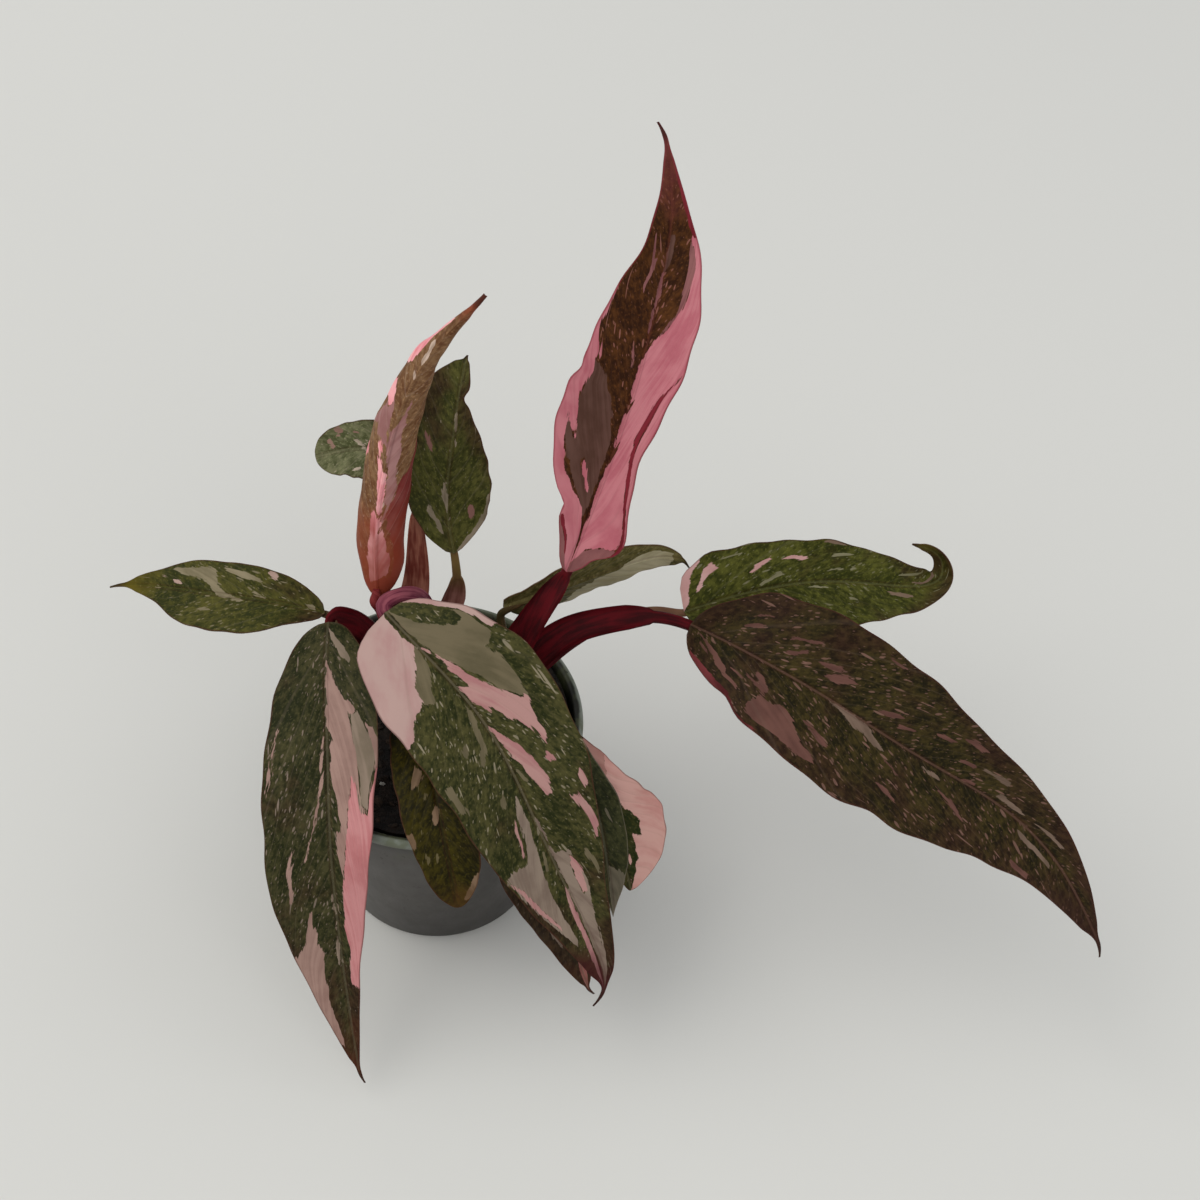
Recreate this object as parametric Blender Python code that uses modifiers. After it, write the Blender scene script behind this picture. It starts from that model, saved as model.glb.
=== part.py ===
"""A pink princess philodendron in its small nursery pot, in metres, +Z up.

The origin is the centre of the pot's flat base. The plant is built from the front: +X is its
right-hand side and -Y comes forward, over the low front rim, where the longest leaves hang.
Each leaf is one solid, its blade joined to its own stalk. Two short stems stand in holes in
the potting mix, and the leaf stalks rise around them a hair clear of each other.
"""

import math
import random

import bmesh
import bpy
import numpy as np

MM = 0.001

# Pot: a thin tapered cup with a rolled rim and drain holes round its floor
POT_HEIGHT = 51 * MM
POT_RIM_RADIUS = 31 * MM
POT_BASE_RADIUS = 21.5 * MM
POT_WALL = 1.0 * MM
POT_FLOOR = 1.4 * MM
RIM_HEIGHT = 2.2 * MM
RIM_LIP = 0.9 * MM
DRAIN_RADIUS = 2.2 * MM
DRAIN_CIRCLE = 14.5 * MM
DRAINS = 6
POT_SEGMENTS = 52

# Potting mix
FIT = 0.3 * MM
SOIL_TOP = 46.5 * MM
SOIL_CRUMB = 0.9 * MM
SOIL_RINGS = 9
SOIL_SEGMENTS = 36

# Stems: centre, top height, radius at the foot and at the top
STEM_FOOT = 24 * MM
STEMS = {
    "stem_left": ((-7, 8.5), 61, 2.7, 2.1),
    "stem_right": ((16.5, 4.5), 67.5, 2.8, 2.2),
}
STEM_NODES = 5
STEM_SEGMENTS = 14

# Leaf blades
BLADE = 0.7 * MM
BLADE_ROWS = 14
BLADE_COLUMNS = 8
ROW_CROWDING = 1.35
VEIN_SWEEP = 0.16
BASE_ROUND = 0.045
TIP_ROUND = 0.07

# Leaf stalks
STALK_SIDES = 8
STALK_RINGS = 10
RIB_LENGTH = 0.16
RIB_SINK = 0.25 * MM

# Each leaf: its midrib from base to tip, the way its upper face looks at the base and at the
# tip, the half widths of its left and right sides at even steps from base to tip, and the
# angles of its two sides: how far each rises from flat at the midrib, and how far it then
# turns up on its way to the margin. The stalk runs from the stem to the blade.
LEAVES = {
    "leaf_top_crimson": dict(
        midrib=[(26.3, 14.3, 82), (31, 19.5, 96), (36.5, 27.5, 113), (41, 37.5, 131),
                (43, 48.5, 148), (40.5, 55.5, 160)],
        face=[(-0.15, -0.75, 0.6), (0.1, -0.85, 0.4)],
        left=[2, 5.5, 10.5, 13, 11.5, 9, 5, 2, 0],
        right=[1.5, 10.5, 8.6, 7.6, 8.8, 9, 5.8, 1.8, 0],
        fold=(12, 14), turn=(6, [30, 55, 45, 20, 8, 0]),
        stalk=[(16.8, 4.8, 68.8), (19.2, 7.6, 72.6), (23, 11.4, 77.5)],
        stalk_radius=(1.9, 1.1), sheath=(1.5, 0.7),
        colour=(0.30, 0.09, 0.10),
    ),
    "leaf_new_rolled": dict(
        midrib=[(-11.4, 14, 72), (-11.7, 18.5, 83), (-10.2, 24, 96), (-6.2, 29.5, 111),
                (0.4, 32.5, 124), (9.3, 34, 135)],
        face=[(0.15, 0.8, -0.3), (0.1, 0.8, -0.3)],
        left=[3.5, 8, 10, 10, 8.8, 6.4, 5.2, 3, 0],
        right=[3.5, 8, 10, 10, 9, 6.8, 5.2, 3, 0],
        fold=(0, 0), turn=([80, 140, 140, 130, 90], [80, 128, 128, 120, 80]),
        stalk=[(-7.3, 8.8, 62.1), (-9.4, 11.4, 66.4), (-10.9, 13.2, 69.6)],
        stalk_radius=(1.7, 1.3), sheath=(1.4, 0.6),
        colour=(0.42, 0.19, 0.16),
    ),
    "leaf_back_upright": dict(
        midrib=[(3.1, 24.5, 74.2), (1.4, 30, 83.6), (2.2, 35.5, 94.2), (3.1, 41, 101),
                (4.4, 48.5, 107)],
        face=[(0.1, -0.7, 0.6), (0.1, -0.7, 0.6)],
        left=[1.5, 5, 7.5, 8.5, 8.5, 7.8, 6.6, 4.6, 0],
        right=[1.5, 6.5, 8.5, 8.8, 7.6, 5.4, 2.4, 1.8, 0.6],
        fold=(10, 10), turn=(0, 0),
        stalk=[(-4.7, 11.2, 52.5), (0, 18, 58), (3.2, 23.2, 64.5), (3.4, 24.2, 70)],
        stalk_radius=(1.5, 0.8), sheath=(1.5, 0.55),
        colour=(0.08, 0.11, 0.04),
    ),
    "leaf_back_small": dict(
        midrib=[(-5.6, 33.7, 83), (-9.5, 40, 85.5), (-18.5, 42.5, 85), (-27, 42.5, 82)],
        face=[(0, -0.5, 0.8), (0, -0.5, 0.8)],
        left=[1.5, 4.5, 6, 6.5, 6.5, 6.2, 5.6, 4.6, 2.6],
        right=[1.5, 4, 5.5, 6, 6, 5.8, 5.4, 4.4, 2.4],
        round_tip=True,
        fold=(6, 6), turn=(0, 0),
        stalk=[(-9.1, 12, 51.5), (-7, 17.5, 58), (-4.8, 23, 67), (-5, 29, 76)],
        stalk_radius=(1.5, 0.9), sheath=(1.7, 0.8),
        colour=(0.13, 0.15, 0.09),
    ),
    "leaf_left": dict(
        midrib=[(-23.3, 17.3, 62), (-35, 19, 63), (-48, 22, 61), (-59.5, 25.7, 58),
                (-71, 29, 54)],
        face=[(0, -0.5, 1), (0, -0.5, 1)],
        left=[1.5, 4, 7, 8, 8, 7, 4.2, 1.4, 0],
        right=[2, 5, 6.5, 7, 7, 6.4, 4.6, 2, 0],
        fold=(8, 8), turn=(0, -6),
        stalk=[(-10.5, 9.4, 53), (-14.5, 12.8, 57.5), (-19, 15.6, 60.8)],
        stalk_radius=(1.3, 0.8), sheath=(1.2, 0.3),
        colour=(0.11, 0.12, 0.05),
    ),
    "leaf_front_left": dict(
        midrib=[(-21.9, 12.6, 65), (-20.6, -1, 66.5), (-18.5, -18.5, 61), (-17, -32, 50.5),
                (-14.8, -44, 28), (-10.8, -59, 5)],
        face=[(0, -0.5, 0.8), (0, -0.7, 0.6), (0, -0.9, 0.3)],
        left=[3.5, 8.5, 10.2, 9.4, 7.8, 5.8, 3.6, 1.6, 0],
        right=[3.5, 8.5, 11.5, 12.8, 13, 11.8, 8.6, 4.2, 0],
        fold=(10, 6), turn=(-6, -8),
        stalk=[(-12.1, 7.2, 56.5), (-14, 10.4, 62.5), (-17.5, 12.8, 65.4),
               (-20.8, 13.8, 65.9)],
        stalk_radius=(1.8, 1.0), sheath=(2.0, 0.55),
        colour=(0.09, 0.10, 0.06),
    ),
    "leaf_front_large": dict(
        midrib=[(-8.8, 5.2, 78), (0, -4.2, 77), (12, -15.3, 71), (21, -26, 60),
                (29, -34.7, 45), (35, -40.8, 34), (37.7, -45.4, 25.5),
                (36.6, -47.8, 21)],
        face=[(0, -0.5, 0.8), (0.1, -0.6, 0.7), (0.1, -0.8, 0.5)],
        left=[6, 12.5, 15.8, 15.4, 13.8, 10.8, 6.8, 3.4, 0],
        right=[9, 13.6, 15, 14.5, 13, 10.6, 7.6, 4, 0],
        fold=(6, 6), turn=(-12, -4),
        stalk=[(-2.9, 9.9, 55.5), (-1.2, 12, 64.6), (-1.8, 12.3, 72.6), (-5.2, 10.1, 77.2),
               (-8.2, 7, 78)],
        stalk_radius=(1.9, 1.6), sheath=(1.3, 0.8),
        colour=(0.17, 0.16, 0.10),
    ),
    "leaf_front_low": dict(
        midrib=[(-0.8, -2.9, 62), (2.4, -21, 59), (6, -33.5, 52), (8.2, -38.6, 41)],
        face=[(0, -0.5, 0.8), (0, -0.8, 0.5)],
        left=[3.5, 7, 8, 8.2, 8, 7.5, 6.5, 4.8, 2.2],
        right=[3.5, 7, 7.8, 7.8, 7.6, 7, 5.9, 4.4, 2],
        round_tip=True,
        fold=(5, 5), turn=(-8, -8),
        stalk=[(-5.8, 5.2, 52.5), (-3.6, 1.8, 58), (-1.8, -0.8, 61.2)],
        stalk_radius=(1.4, 0.9), sheath=(1.2, 0.3),
        colour=(0.14, 0.10, 0.03),
    ),
    "leaf_front_under": dict(
        midrib=[(12.4, -4.3, 60), (19, -21, 57.5), (27, -33.2, 41.5), (35, -41.5, 14)],
        face=[(0, -0.5, 0.8), (0, -0.8, 0.5)],
        left=[3, 5.5, 7, 7.5, 7, 6, 4.4, 2.4, 0],
        right=[3, 7, 9, 10, 9.6, 8, 5.6, 3, 0],
        fold=(4, 12), turn=(-6, 0),
        stalk=[(14.6, 1.2, 51.8), (13.2, -1.4, 56.5), (12.6, -3, 58.9)],
        stalk_radius=(1.4, 0.9), sheath=(1.2, 0.3),
        colour=(0.08, 0.07, 0.04),
    ),
    "leaf_right_dark": dict(
        midrib=[(23, -2, 62.5), (29.7, -12, 58.5), (35.2, -20, 46.5), (39, -30.6, 27)],
        face=[(0.2, -0.5, 0.8), (0.3, -0.6, 0.5)],
        left=[2, 4, 4.6, 4.8, 5, 5, 4.4, 2.8, 0],
        right=[2, 4, 5, 5.4, 5.2, 4.6, 3.4, 1.8, 0],
        fold=(6, 6), turn=(-6, -6),
        stalk=[(18.9, 2.1, 56), (21.6, -0.3, 60), (22.6, -1.4, 61.7)],
        stalk_radius=(1.3, 0.8), sheath=(1.2, 0.3),
        colour=(0.07, 0.09, 0.04),
    ),
    "leaf_right_pink": dict(
        midrib=[(24.8, -4.5, 55.5), (31, -13, 53), (36.2, -18.4, 43), (40.6, -22.4, 34.6),
                (42.4, -25, 28.4)],
        face=[(0.25, -0.5, 0.8), (0.35, -0.6, 0.5)],
        left=[2, 3.9, 5.8, 7.8, 10.2, 12.3, 11.4, 8.4, 3],
        right=[2, 3, 4, 4.4, 4.4, 4, 3.2, 2, 1],
        round_tip=True,
        fold=(6, 6), turn=(-6, -8),
        stalk=[(19.7, 3, 50.9), (22.8, -0.6, 54), (24, -3, 55)],
        stalk_radius=(1.2, 0.8), sheath=(1.2, 0.3),
        colour=(0.52, 0.28, 0.27),
    ),
    "leaf_right_large": dict(
        midrib=[(52.4, 12.2, 69), (61.5, 5, 72), (79, -5, 70), (96.5, -12.2, 63),
                (114.3, -17.3, 54), (127, -26, 46), (136, -40.5, 37)],
        face=[(0, -0.5, 0.8), (0, -0.5, 0.8), (0.2, -0.6, 0.7)],
        left=[4.5, 13, 15.4, 15.2, 13, 9.4, 6.4, 3.4, 0],
        right=[4.5, 10.4, 14.2, 15.7, 15, 13, 9.6, 5, 0],
        fold=(8, 8), turn=(-8, -6),
        stalk=[(19.9, 6, 64), (26.5, 10.2, 67.8), (35, 13.2, 69.8), (45, 14.2, 69.6)],
        stalk_radius=(1.9, 1.1), sheath=(1.6, 0.62),
        colour=(0.09, 0.07, 0.05),
    ),
    "leaf_right_upper": dict(
        midrib=[(50.4, 17.1, 68), (61.6, 20, 71), (78.4, 25.8, 69.5), (94, 29.6, 65),
                (104.6, 33.8, 63), (104, 36.4, 67), (98, 36.5, 70.2)],
        face=[(0, -0.5, 0.9), (0, -0.5, 0.9), (0, -0.5, 0.9), (-0.7, -0.3, 0.3)],
        left=[7, 9.8, 9.4, 9, 8, 6.4, 4, 1.6, 0],
        right=[4, 8.6, 10.4, 10.5, 9.6, 7.8, 5, 2, 0],
        fold=(8, 8), turn=(0, 0),
        stalk=[(18.6, 6.7, 55.8), (27, 12.8, 60.5), (36, 16.6, 64.6), (45, 18, 67)],
        stalk_radius=(1.3, 0.8), sheath=(1.2, 0.3),
        colour=(0.13, 0.14, 0.06),
    ),
    "leaf_back_pale": dict(
        midrib=[(13.4, 18.1, 66), (24, 20.6, 70), (35.5, 24.4, 72.6), (45.5, 28.2, 72.4),
                (51, 29, 70)],
        face=[(0, 0.95, 0.3), (0, 0.95, 0.3)],
        left=[3.4, 6.8, 9.2, 9.6, 8, 5.8, 3.4, 2, 0],
        right=[1, 2.2, 4.6, 6.8, 7.4, 6, 3.8, 1.8, 0],
        fold=(6, 6), turn=(0, 0),
        stalk=[(15.7, 8.1, 54.5), (14.3, 13, 60), (13, 16.6, 64.4)],
        stalk_radius=(1.3, 0.8), sheath=(1.2, 0.3),
        colour=(0.17, 0.19, 0.09),
    ),
}

POT_COLOUR = (0.27, 0.30, 0.29)
SOIL_COLOUR = (0.020, 0.015, 0.012)
STEM_COLOUR = (0.13, 0.035, 0.04)


def clear_scene():
    for thing in list(bpy.data.objects):
        bpy.data.objects.remove(thing)


def make_collection(name):
    collection = bpy.data.collections.new(name)
    bpy.context.scene.collection.children.link(collection)
    return collection


def make_material(name, colour, roughness):
    material = bpy.data.materials.new(name)
    material.use_nodes = True
    shader = material.node_tree.nodes["Principled BSDF"]
    shader.inputs["Base Color"].default_value = (*colour, 1)
    shader.inputs["Roughness"].default_value = roughness
    shader.inputs["Metallic"].default_value = 0
    return material


def object_from(bm, name, collection, material=None):
    mesh = bpy.data.meshes.new(name)
    bm.to_mesh(mesh)
    bm.free()
    thing = bpy.data.objects.new(name, mesh)
    collection.objects.link(thing)
    if material:
        mesh.materials.append(material)
    return thing


def make_guide(thing):
    """A cutter or an operand: shown as wire and left out of renders."""
    thing.hide_render = True
    thing.display_type = "WIRE"


def add_boolean(thing, operand, operation):
    boolean = thing.modifiers.new(operation.title(), "BOOLEAN")
    boolean.operation = operation
    boolean.solver = "EXACT"
    boolean.object = operand


# Curves through hand-set points

def unit(vectors):
    return vectors / np.linalg.norm(vectors, axis=-1, keepdims=True)


def smooth_path(points, count=120):
    """A natural cubic spline through the points, in metres, sampled at even steps."""
    points = np.asarray(points, float) * MM
    steps = np.linalg.norm(np.diff(points, axis=0), axis=1) ** 0.5
    knots = np.concatenate([[0], np.cumsum(steps)])
    last = len(points) - 1
    system = np.eye(last + 1)
    target = np.zeros_like(points)
    for i in range(1, last):
        before = steps[i - 1]
        after = steps[i]
        system[i, i - 1:i + 2] = before, 2 * (before + after), after
        target[i] = 6 * ((points[i + 1] - points[i]) / after - (points[i] - points[i - 1]) / before)
    bend = np.linalg.solve(system, target)
    t = np.linspace(0, knots[-1], 4 * count)
    i = np.clip(np.searchsorted(knots, t, side="right") - 1, 0, last - 1)
    gap = steps[i][:, None]
    up = (t - knots[i])[:, None]
    down = gap - up
    curve = (bend[i] * down**3 + bend[i + 1] * up**3) / (6 * gap)
    curve += (points[i] / gap - bend[i] * gap / 6) * down
    curve += (points[i + 1] / gap - bend[i + 1] * gap / 6) * up
    run = np.linalg.norm(np.diff(curve, axis=0), axis=1)
    run = np.concatenate([[0], np.cumsum(run)])
    even = np.linspace(0, run[-1], count)
    return np.stack([np.interp(even, run, curve[:, axis]) for axis in range(3)], axis=1)


def keyed(keys, where):
    """Values set at even steps from 0 to 1, joined smoothly (Catmull-Rom)."""
    keys = np.atleast_1d(np.asarray(keys, float))
    if len(keys) == 1:
        return np.full(np.shape(where), keys[0])
    if keys.ndim == 1:
        return keyed(keys[:, None], where)[..., 0]
    last = len(keys) - 1
    x = np.clip(where, 0, 1) * last
    i = np.clip(x.astype(int), 0, last - 1)
    f = (x - i)[..., None]
    before = keys[np.maximum(i - 1, 0)]
    start = keys[i]
    end = keys[i + 1]
    after = keys[np.minimum(i + 2, last)]
    rise = (end - before) / 2
    fall = (after - start) / 2
    return (start * (1 + 2 * f) * (1 - f) ** 2 + rise * f * (1 - f) ** 2
            + end * f**2 * (3 - 2 * f) - fall * f**2 * (1 - f))


def along(path, where):
    """Points at shares of the way along an evenly sampled path."""
    x = np.clip(where, 0, 1) * (len(path) - 1)
    i = np.clip(x.astype(int), 0, len(path) - 2)
    f = (x - i)[..., None]
    return path[i] * (1 - f) + path[i + 1] * f


# Leaf blades

def blade_points(leaf, row, side):
    """The upper face at row 0 to 1 from base to tip and side -1 to 1 from left to right."""
    path = smooth_path(leaf["midrib"])
    reach = VEIN_SWEEP * (1 - np.exp(-row / 0.07)) * (1 - row) ** 0.9
    station = np.clip(row + reach * np.abs(side) ** 1.3, 0, 1)
    centre = along(path, station)
    forward = unit(along(np.gradient(path, axis=0), station))
    face = keyed(leaf["face"], station)
    normal = unit(face - (face * forward).sum(-1, keepdims=True) * forward)
    across = np.cross(forward, normal)

    on_right = side > 0
    width = np.where(on_right, keyed(leaf["right"], station), keyed(leaf["left"], station))
    width = np.maximum(width, 0) * np.sqrt(1 - np.clip(1 - station / BASE_ROUND, 0, 1) ** 2)
    if leaf.get("round_tip"):
        left_over = np.clip((1 - station) / TIP_ROUND, 0, 1)
        width = width * np.sqrt(1 - (1 - left_over) ** 2)
    fold = np.where(on_right, keyed(leaf["fold"][1], station), keyed(leaf["fold"][0], station))
    turn = np.where(on_right, keyed(leaf["turn"][1], station), keyed(leaf["turn"][0], station))
    fold = np.radians(fold)
    turn = np.radians(np.where(np.abs(turn) < 0.1, 0.1, turn))
    share = np.abs(side)
    out = (np.sin(fold + turn * share) - np.sin(fold)) / turn
    rise = (np.cos(fold) - np.cos(fold + turn * share)) / turn
    width = width * MM
    return (centre + across * (np.sign(side) * width * out)[..., None]
            + normal * (width * rise)[..., None])


def make_blade(name, leaf, collection, material):
    bm = bmesh.new()
    bmesh.ops.create_grid(bm, x_segments=BLADE_COLUMNS, y_segments=BLADE_ROWS, size=0.5)
    flat = np.array([vert.co for vert in bm.verts])
    row = np.clip(flat[:, 1] + 0.5, 0, 1) ** ROW_CROWDING
    side = np.clip(2 * flat[:, 0], -1, 1)
    for vert, point in zip(bm.verts, blade_points(leaf, row, side)):
        vert.co = point
    bmesh.ops.remove_doubles(bm, verts=bm.verts, dist=0.01 * MM)
    blade = object_from(bm, name, collection, material)
    blade.modifiers.new("Triangulate", "TRIANGULATE")
    solidify = blade.modifiers.new("Solidify", "SOLIDIFY")
    solidify.thickness = BLADE
    solidify.offset = -1
    return blade


# Leaf stalks: a round rod that opens into a grooved sheath where it clasps the stem

def path_length(path):
    return np.linalg.norm(np.diff(path, axis=0), axis=1).sum()


def stalk_path(leaf):
    """The stalk's centre line, run on a short way as the rib under the blade.

    It comes with the share of its length at which the blade starts, and the blade's normal there.
    """
    midrib = smooth_path(leaf["midrib"])
    share = np.array([0.0, 0.5, 1.0]) * RIB_LENGTH
    centre = along(midrib, share)
    forward = unit(along(np.gradient(midrib, axis=0), share))
    face = keyed(leaf["face"], share)
    normal = unit(face - (face * forward).sum(-1, keepdims=True) * forward)
    end_radius = leaf["stalk_radius"][1] * np.array([1.0, 0.75, 0.5])
    rib = centre / MM - normal * (RIB_SINK / MM + end_radius)[:, None]
    path = smooth_path([*leaf["stalk"], *rib])
    blade_at = 1 - RIB_LENGTH * path_length(midrib) / path_length(path)
    return path, blade_at, normal[0]


def make_stalk(name, leaf, collection):
    path, blade_at, end_normal = stalk_path(leaf)
    forward = unit(np.gradient(path, axis=0))

    # The blade's normal is carried back along the stalk without twisting
    normals = np.empty_like(path)
    normals[-1] = end_normal
    for i in range(len(path) - 2, -1, -1):
        normals[i] = normals[i + 1] - (normals[i + 1] @ forward[i]) * forward[i]
        normals[i] /= np.linalg.norm(normals[i])

    start_radius, end_radius = leaf["stalk_radius"]
    sheath_width, sheath_end = leaf["sheath"]

    bm = bmesh.new()
    bmesh.ops.create_grid(bm, x_segments=STALK_SIDES, y_segments=STALK_RINGS, size=0.5)
    for vert in bm.verts:
        angle = 2 * math.pi * (vert.co.x + 0.5)
        share = min(max(vert.co.y + 0.5, 0), 1)
        centre = along(path, np.array(share))
        ahead = unit(along(forward, np.array(share)))
        normal = unit(along(normals, np.array(share)))
        across = np.cross(ahead, normal)
        thinning = min(share / blade_at, 1)
        radius = start_radius + (end_radius - start_radius) * thinning
        radius *= 1 - 0.5 * max(share - blade_at, 0) / (1 - blade_at)
        opening = max(0.0, 1 - thinning / sheath_end) ** 0.5
        wide = radius * (1 + (sheath_width - 1) * opening)
        lip = 0.5 * radius * opening
        x = wide * math.cos(angle)
        y = radius * math.sin(angle) * (1 - 0.25 * opening) + lip * (math.cos(angle) ** 2 - 0.5)
        vert.co = centre + (across * x + normal * y) * MM
    bmesh.ops.remove_doubles(bm, verts=bm.verts, dist=0.01 * MM)
    bmesh.ops.holes_fill(bm, edges=bm.edges, sides=0)
    bmesh.ops.recalc_face_normals(bm, faces=bm.faces)
    stalk = object_from(bm, name + "_stalk", collection)
    make_guide(stalk)
    return stalk


def make_leaf(name, leaf, parts, guides):
    material = make_material(name + "_skin", leaf["colour"], 0.42)
    blade = make_blade(name, leaf, parts, material)
    stalk = make_stalk(name, leaf, guides)
    add_boolean(blade, stalk, "UNION")


# Turned shapes

def make_turned(name, profile, segments, collection, material):
    """A profile of (radius, height) from top to bottom, turned about the Z axis."""
    bm = bmesh.new()
    verts = [bm.verts.new((radius, 0, height)) for radius, height in profile]
    for start, end in zip(verts, verts[1:]):
        bm.edges.new((start, end))
    if profile[0][0] > 0 and profile[-1][0] > 0:
        bm.edges.new((verts[-1], verts[0]))
    turned = object_from(bm, name, collection, material)
    screw = turned.modifiers.new("Screw", "SCREW")
    screw.steps = segments
    screw.render_steps = segments
    screw.use_merge_vertices = True
    screw.merge_threshold = 0.00002
    screw.use_smooth_shade = False
    return turned


def outer_radius(height):
    return POT_BASE_RADIUS + (POT_RIM_RADIUS - RIM_LIP - POT_BASE_RADIUS) * height / POT_HEIGHT


def inner_radius(height):
    return outer_radius(height) - POT_WALL


def make_pot(parts, guides):
    rim_foot = POT_HEIGHT - RIM_HEIGHT
    bevel = 0.4 * MM
    profile = [
        (0, POT_FLOOR),
        (inner_radius(POT_FLOOR), POT_FLOOR),
        (inner_radius(POT_HEIGHT - bevel), POT_HEIGHT - bevel),
        (inner_radius(POT_HEIGHT) + bevel, POT_HEIGHT),
        (POT_RIM_RADIUS - bevel, POT_HEIGHT),
        (POT_RIM_RADIUS, POT_HEIGHT - bevel),
        (POT_RIM_RADIUS, rim_foot + bevel),
        (outer_radius(rim_foot), rim_foot),
        (POT_BASE_RADIUS + bevel / 4, bevel),
        (POT_BASE_RADIUS - bevel, 0),
        (0, 0),
    ]
    material = make_material("pot_plastic", POT_COLOUR, 0.35)
    pot = make_turned("pot", profile, POT_SEGMENTS, parts, material)
    for i in range(DRAINS):
        angle = 2 * math.pi * (i + 0.5) / DRAINS
        bm = bmesh.new()
        bmesh.ops.create_cone(bm, cap_ends=True, segments=12, radius1=DRAIN_RADIUS,
                              radius2=DRAIN_RADIUS, depth=4 * POT_FLOOR)
        drain = object_from(bm, f"drain_{i + 1}", guides)
        drain.location = (DRAIN_CIRCLE * math.cos(angle), DRAIN_CIRCLE * math.sin(angle), 0)
        make_guide(drain)
        add_boolean(pot, drain, "DIFFERENCE")


def make_soil(parts, guides):
    """A tapered plug of potting mix with a crumbly top and a plain hole for each stem."""
    bottom = POT_FLOOR + FIT
    draw = random.Random(11)
    bm = bmesh.new()
    bmesh.ops.create_grid(bm, x_segments=SOIL_SEGMENTS, y_segments=SOIL_RINGS + 1, size=0.5)
    rows = {}
    for vert in bm.verts:
        rows.setdefault(round((vert.co.y + 0.5) * (SOIL_RINGS + 1)), []).append(vert)
    for ring, verts in rows.items():
        verts.sort(key=lambda vert: vert.co.x)
        crumbs = [draw.uniform(-1, 1) for _ in range(SOIL_SEGMENTS)]
        for i, vert in enumerate(verts):
            angle = 2 * math.pi * (i % SOIL_SEGMENTS) / SOIL_SEGMENTS
            if ring > SOIL_RINGS:
                radius = inner_radius(bottom) - FIT
                height = bottom
            else:
                share = ring / SOIL_RINGS
                height = SOIL_TOP - 0.6 * MM * share**6
                if 0 < ring < SOIL_RINGS:
                    height += SOIL_CRUMB * crumbs[i % SOIL_SEGMENTS]
                radius = share * (inner_radius(SOIL_TOP - SOIL_CRUMB) - FIT)
            vert.co = (radius * math.cos(angle), radius * math.sin(angle), height)
    bmesh.ops.remove_doubles(bm, verts=bm.verts, dist=0.01 * MM)
    bmesh.ops.holes_fill(bm, edges=bm.edges, sides=0)
    bmesh.ops.recalc_face_normals(bm, faces=bm.faces)
    soil = object_from(bm, "soil", parts, make_material("soil_mix", SOIL_COLOUR, 0.95))
    for name, (centre, _, radius, _) in STEMS.items():
        bm = bmesh.new()
        depth = SOIL_TOP + 8 * MM - STEM_FOOT
        bmesh.ops.create_cone(bm, cap_ends=True, segments=STEM_SEGMENTS,
                              radius1=radius * MM + FIT, radius2=radius * MM + FIT, depth=depth)
        hole = object_from(bm, name + "_hole", guides)
        hole.location = (centre[0] * MM, centre[1] * MM, STEM_FOOT - FIT + depth / 2)
        make_guide(hole)
        add_boolean(soil, hole, "DIFFERENCE")


def make_stem(name, centre, top, foot_radius, top_radius, parts):
    """A short green-red cane, a little thicker at each node and domed at the top."""
    profile = [(0, top), (0.7 * top_radius, top - 0.25), (top_radius, top - 1.0)]
    soil = SOIL_TOP / MM + 1.5
    for i in range(STEM_NODES):
        share = (i + 0.5) / STEM_NODES
        height = top - 1.0 + (soil - top + 1.0) * share
        radius = top_radius + (foot_radius - top_radius) * share
        profile += [(radius - 0.12, height + 0.7), (radius, height), (radius - 0.12, height - 0.7)]
    foot = STEM_FOOT / MM
    profile += [(foot_radius, soil), (foot_radius, foot + 0.6), (foot_radius - 0.6, foot), (0, foot)]
    profile = [(radius * MM, height * MM) for radius, height in profile]
    material = make_material(name + "_skin", STEM_COLOUR, 0.5)
    stem = make_turned(name, profile, STEM_SEGMENTS, parts, material)
    stem.location = (centre[0] * MM, centre[1] * MM, 0)


def build():
    clear_scene()
    parts = make_collection("pink_princess_philodendron")
    guides = make_collection("cutters")
    make_pot(parts, guides)
    make_soil(parts, guides)
    for name, sizes in STEMS.items():
        make_stem(name, *sizes, parts)
    for name, leaf in LEAVES.items():
        make_leaf(name, leaf, parts, guides)


build()
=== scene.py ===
"""The looks of a young pink princess philodendron in its pot, in metres, +Z up.

Each leaf repeats the midrib, face, half widths and angles of its solid in a finer skin, with sunk
veins, waved margins and a drawn-out tip. Its markings are painted from outlines on the leaf laid
out as a rectangle, and noise stretched along the side veins gives them their ragged edges.
"""

import math
import random

import bmesh
import bpy
import numpy as np
from mathutils import Matrix, Vector, noise


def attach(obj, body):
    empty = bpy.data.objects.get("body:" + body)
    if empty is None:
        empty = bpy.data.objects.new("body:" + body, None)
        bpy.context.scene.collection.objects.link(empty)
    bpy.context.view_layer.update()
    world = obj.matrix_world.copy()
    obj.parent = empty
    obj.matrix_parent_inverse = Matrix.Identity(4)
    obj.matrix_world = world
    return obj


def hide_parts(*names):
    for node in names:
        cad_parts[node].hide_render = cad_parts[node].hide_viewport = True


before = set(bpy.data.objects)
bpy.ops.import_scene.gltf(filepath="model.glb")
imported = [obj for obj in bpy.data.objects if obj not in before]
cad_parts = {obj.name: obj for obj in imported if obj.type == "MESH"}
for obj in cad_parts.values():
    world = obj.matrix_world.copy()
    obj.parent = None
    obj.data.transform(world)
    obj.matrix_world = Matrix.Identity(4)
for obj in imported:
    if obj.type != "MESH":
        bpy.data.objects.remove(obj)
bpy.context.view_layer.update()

MM = 0.001

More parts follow.
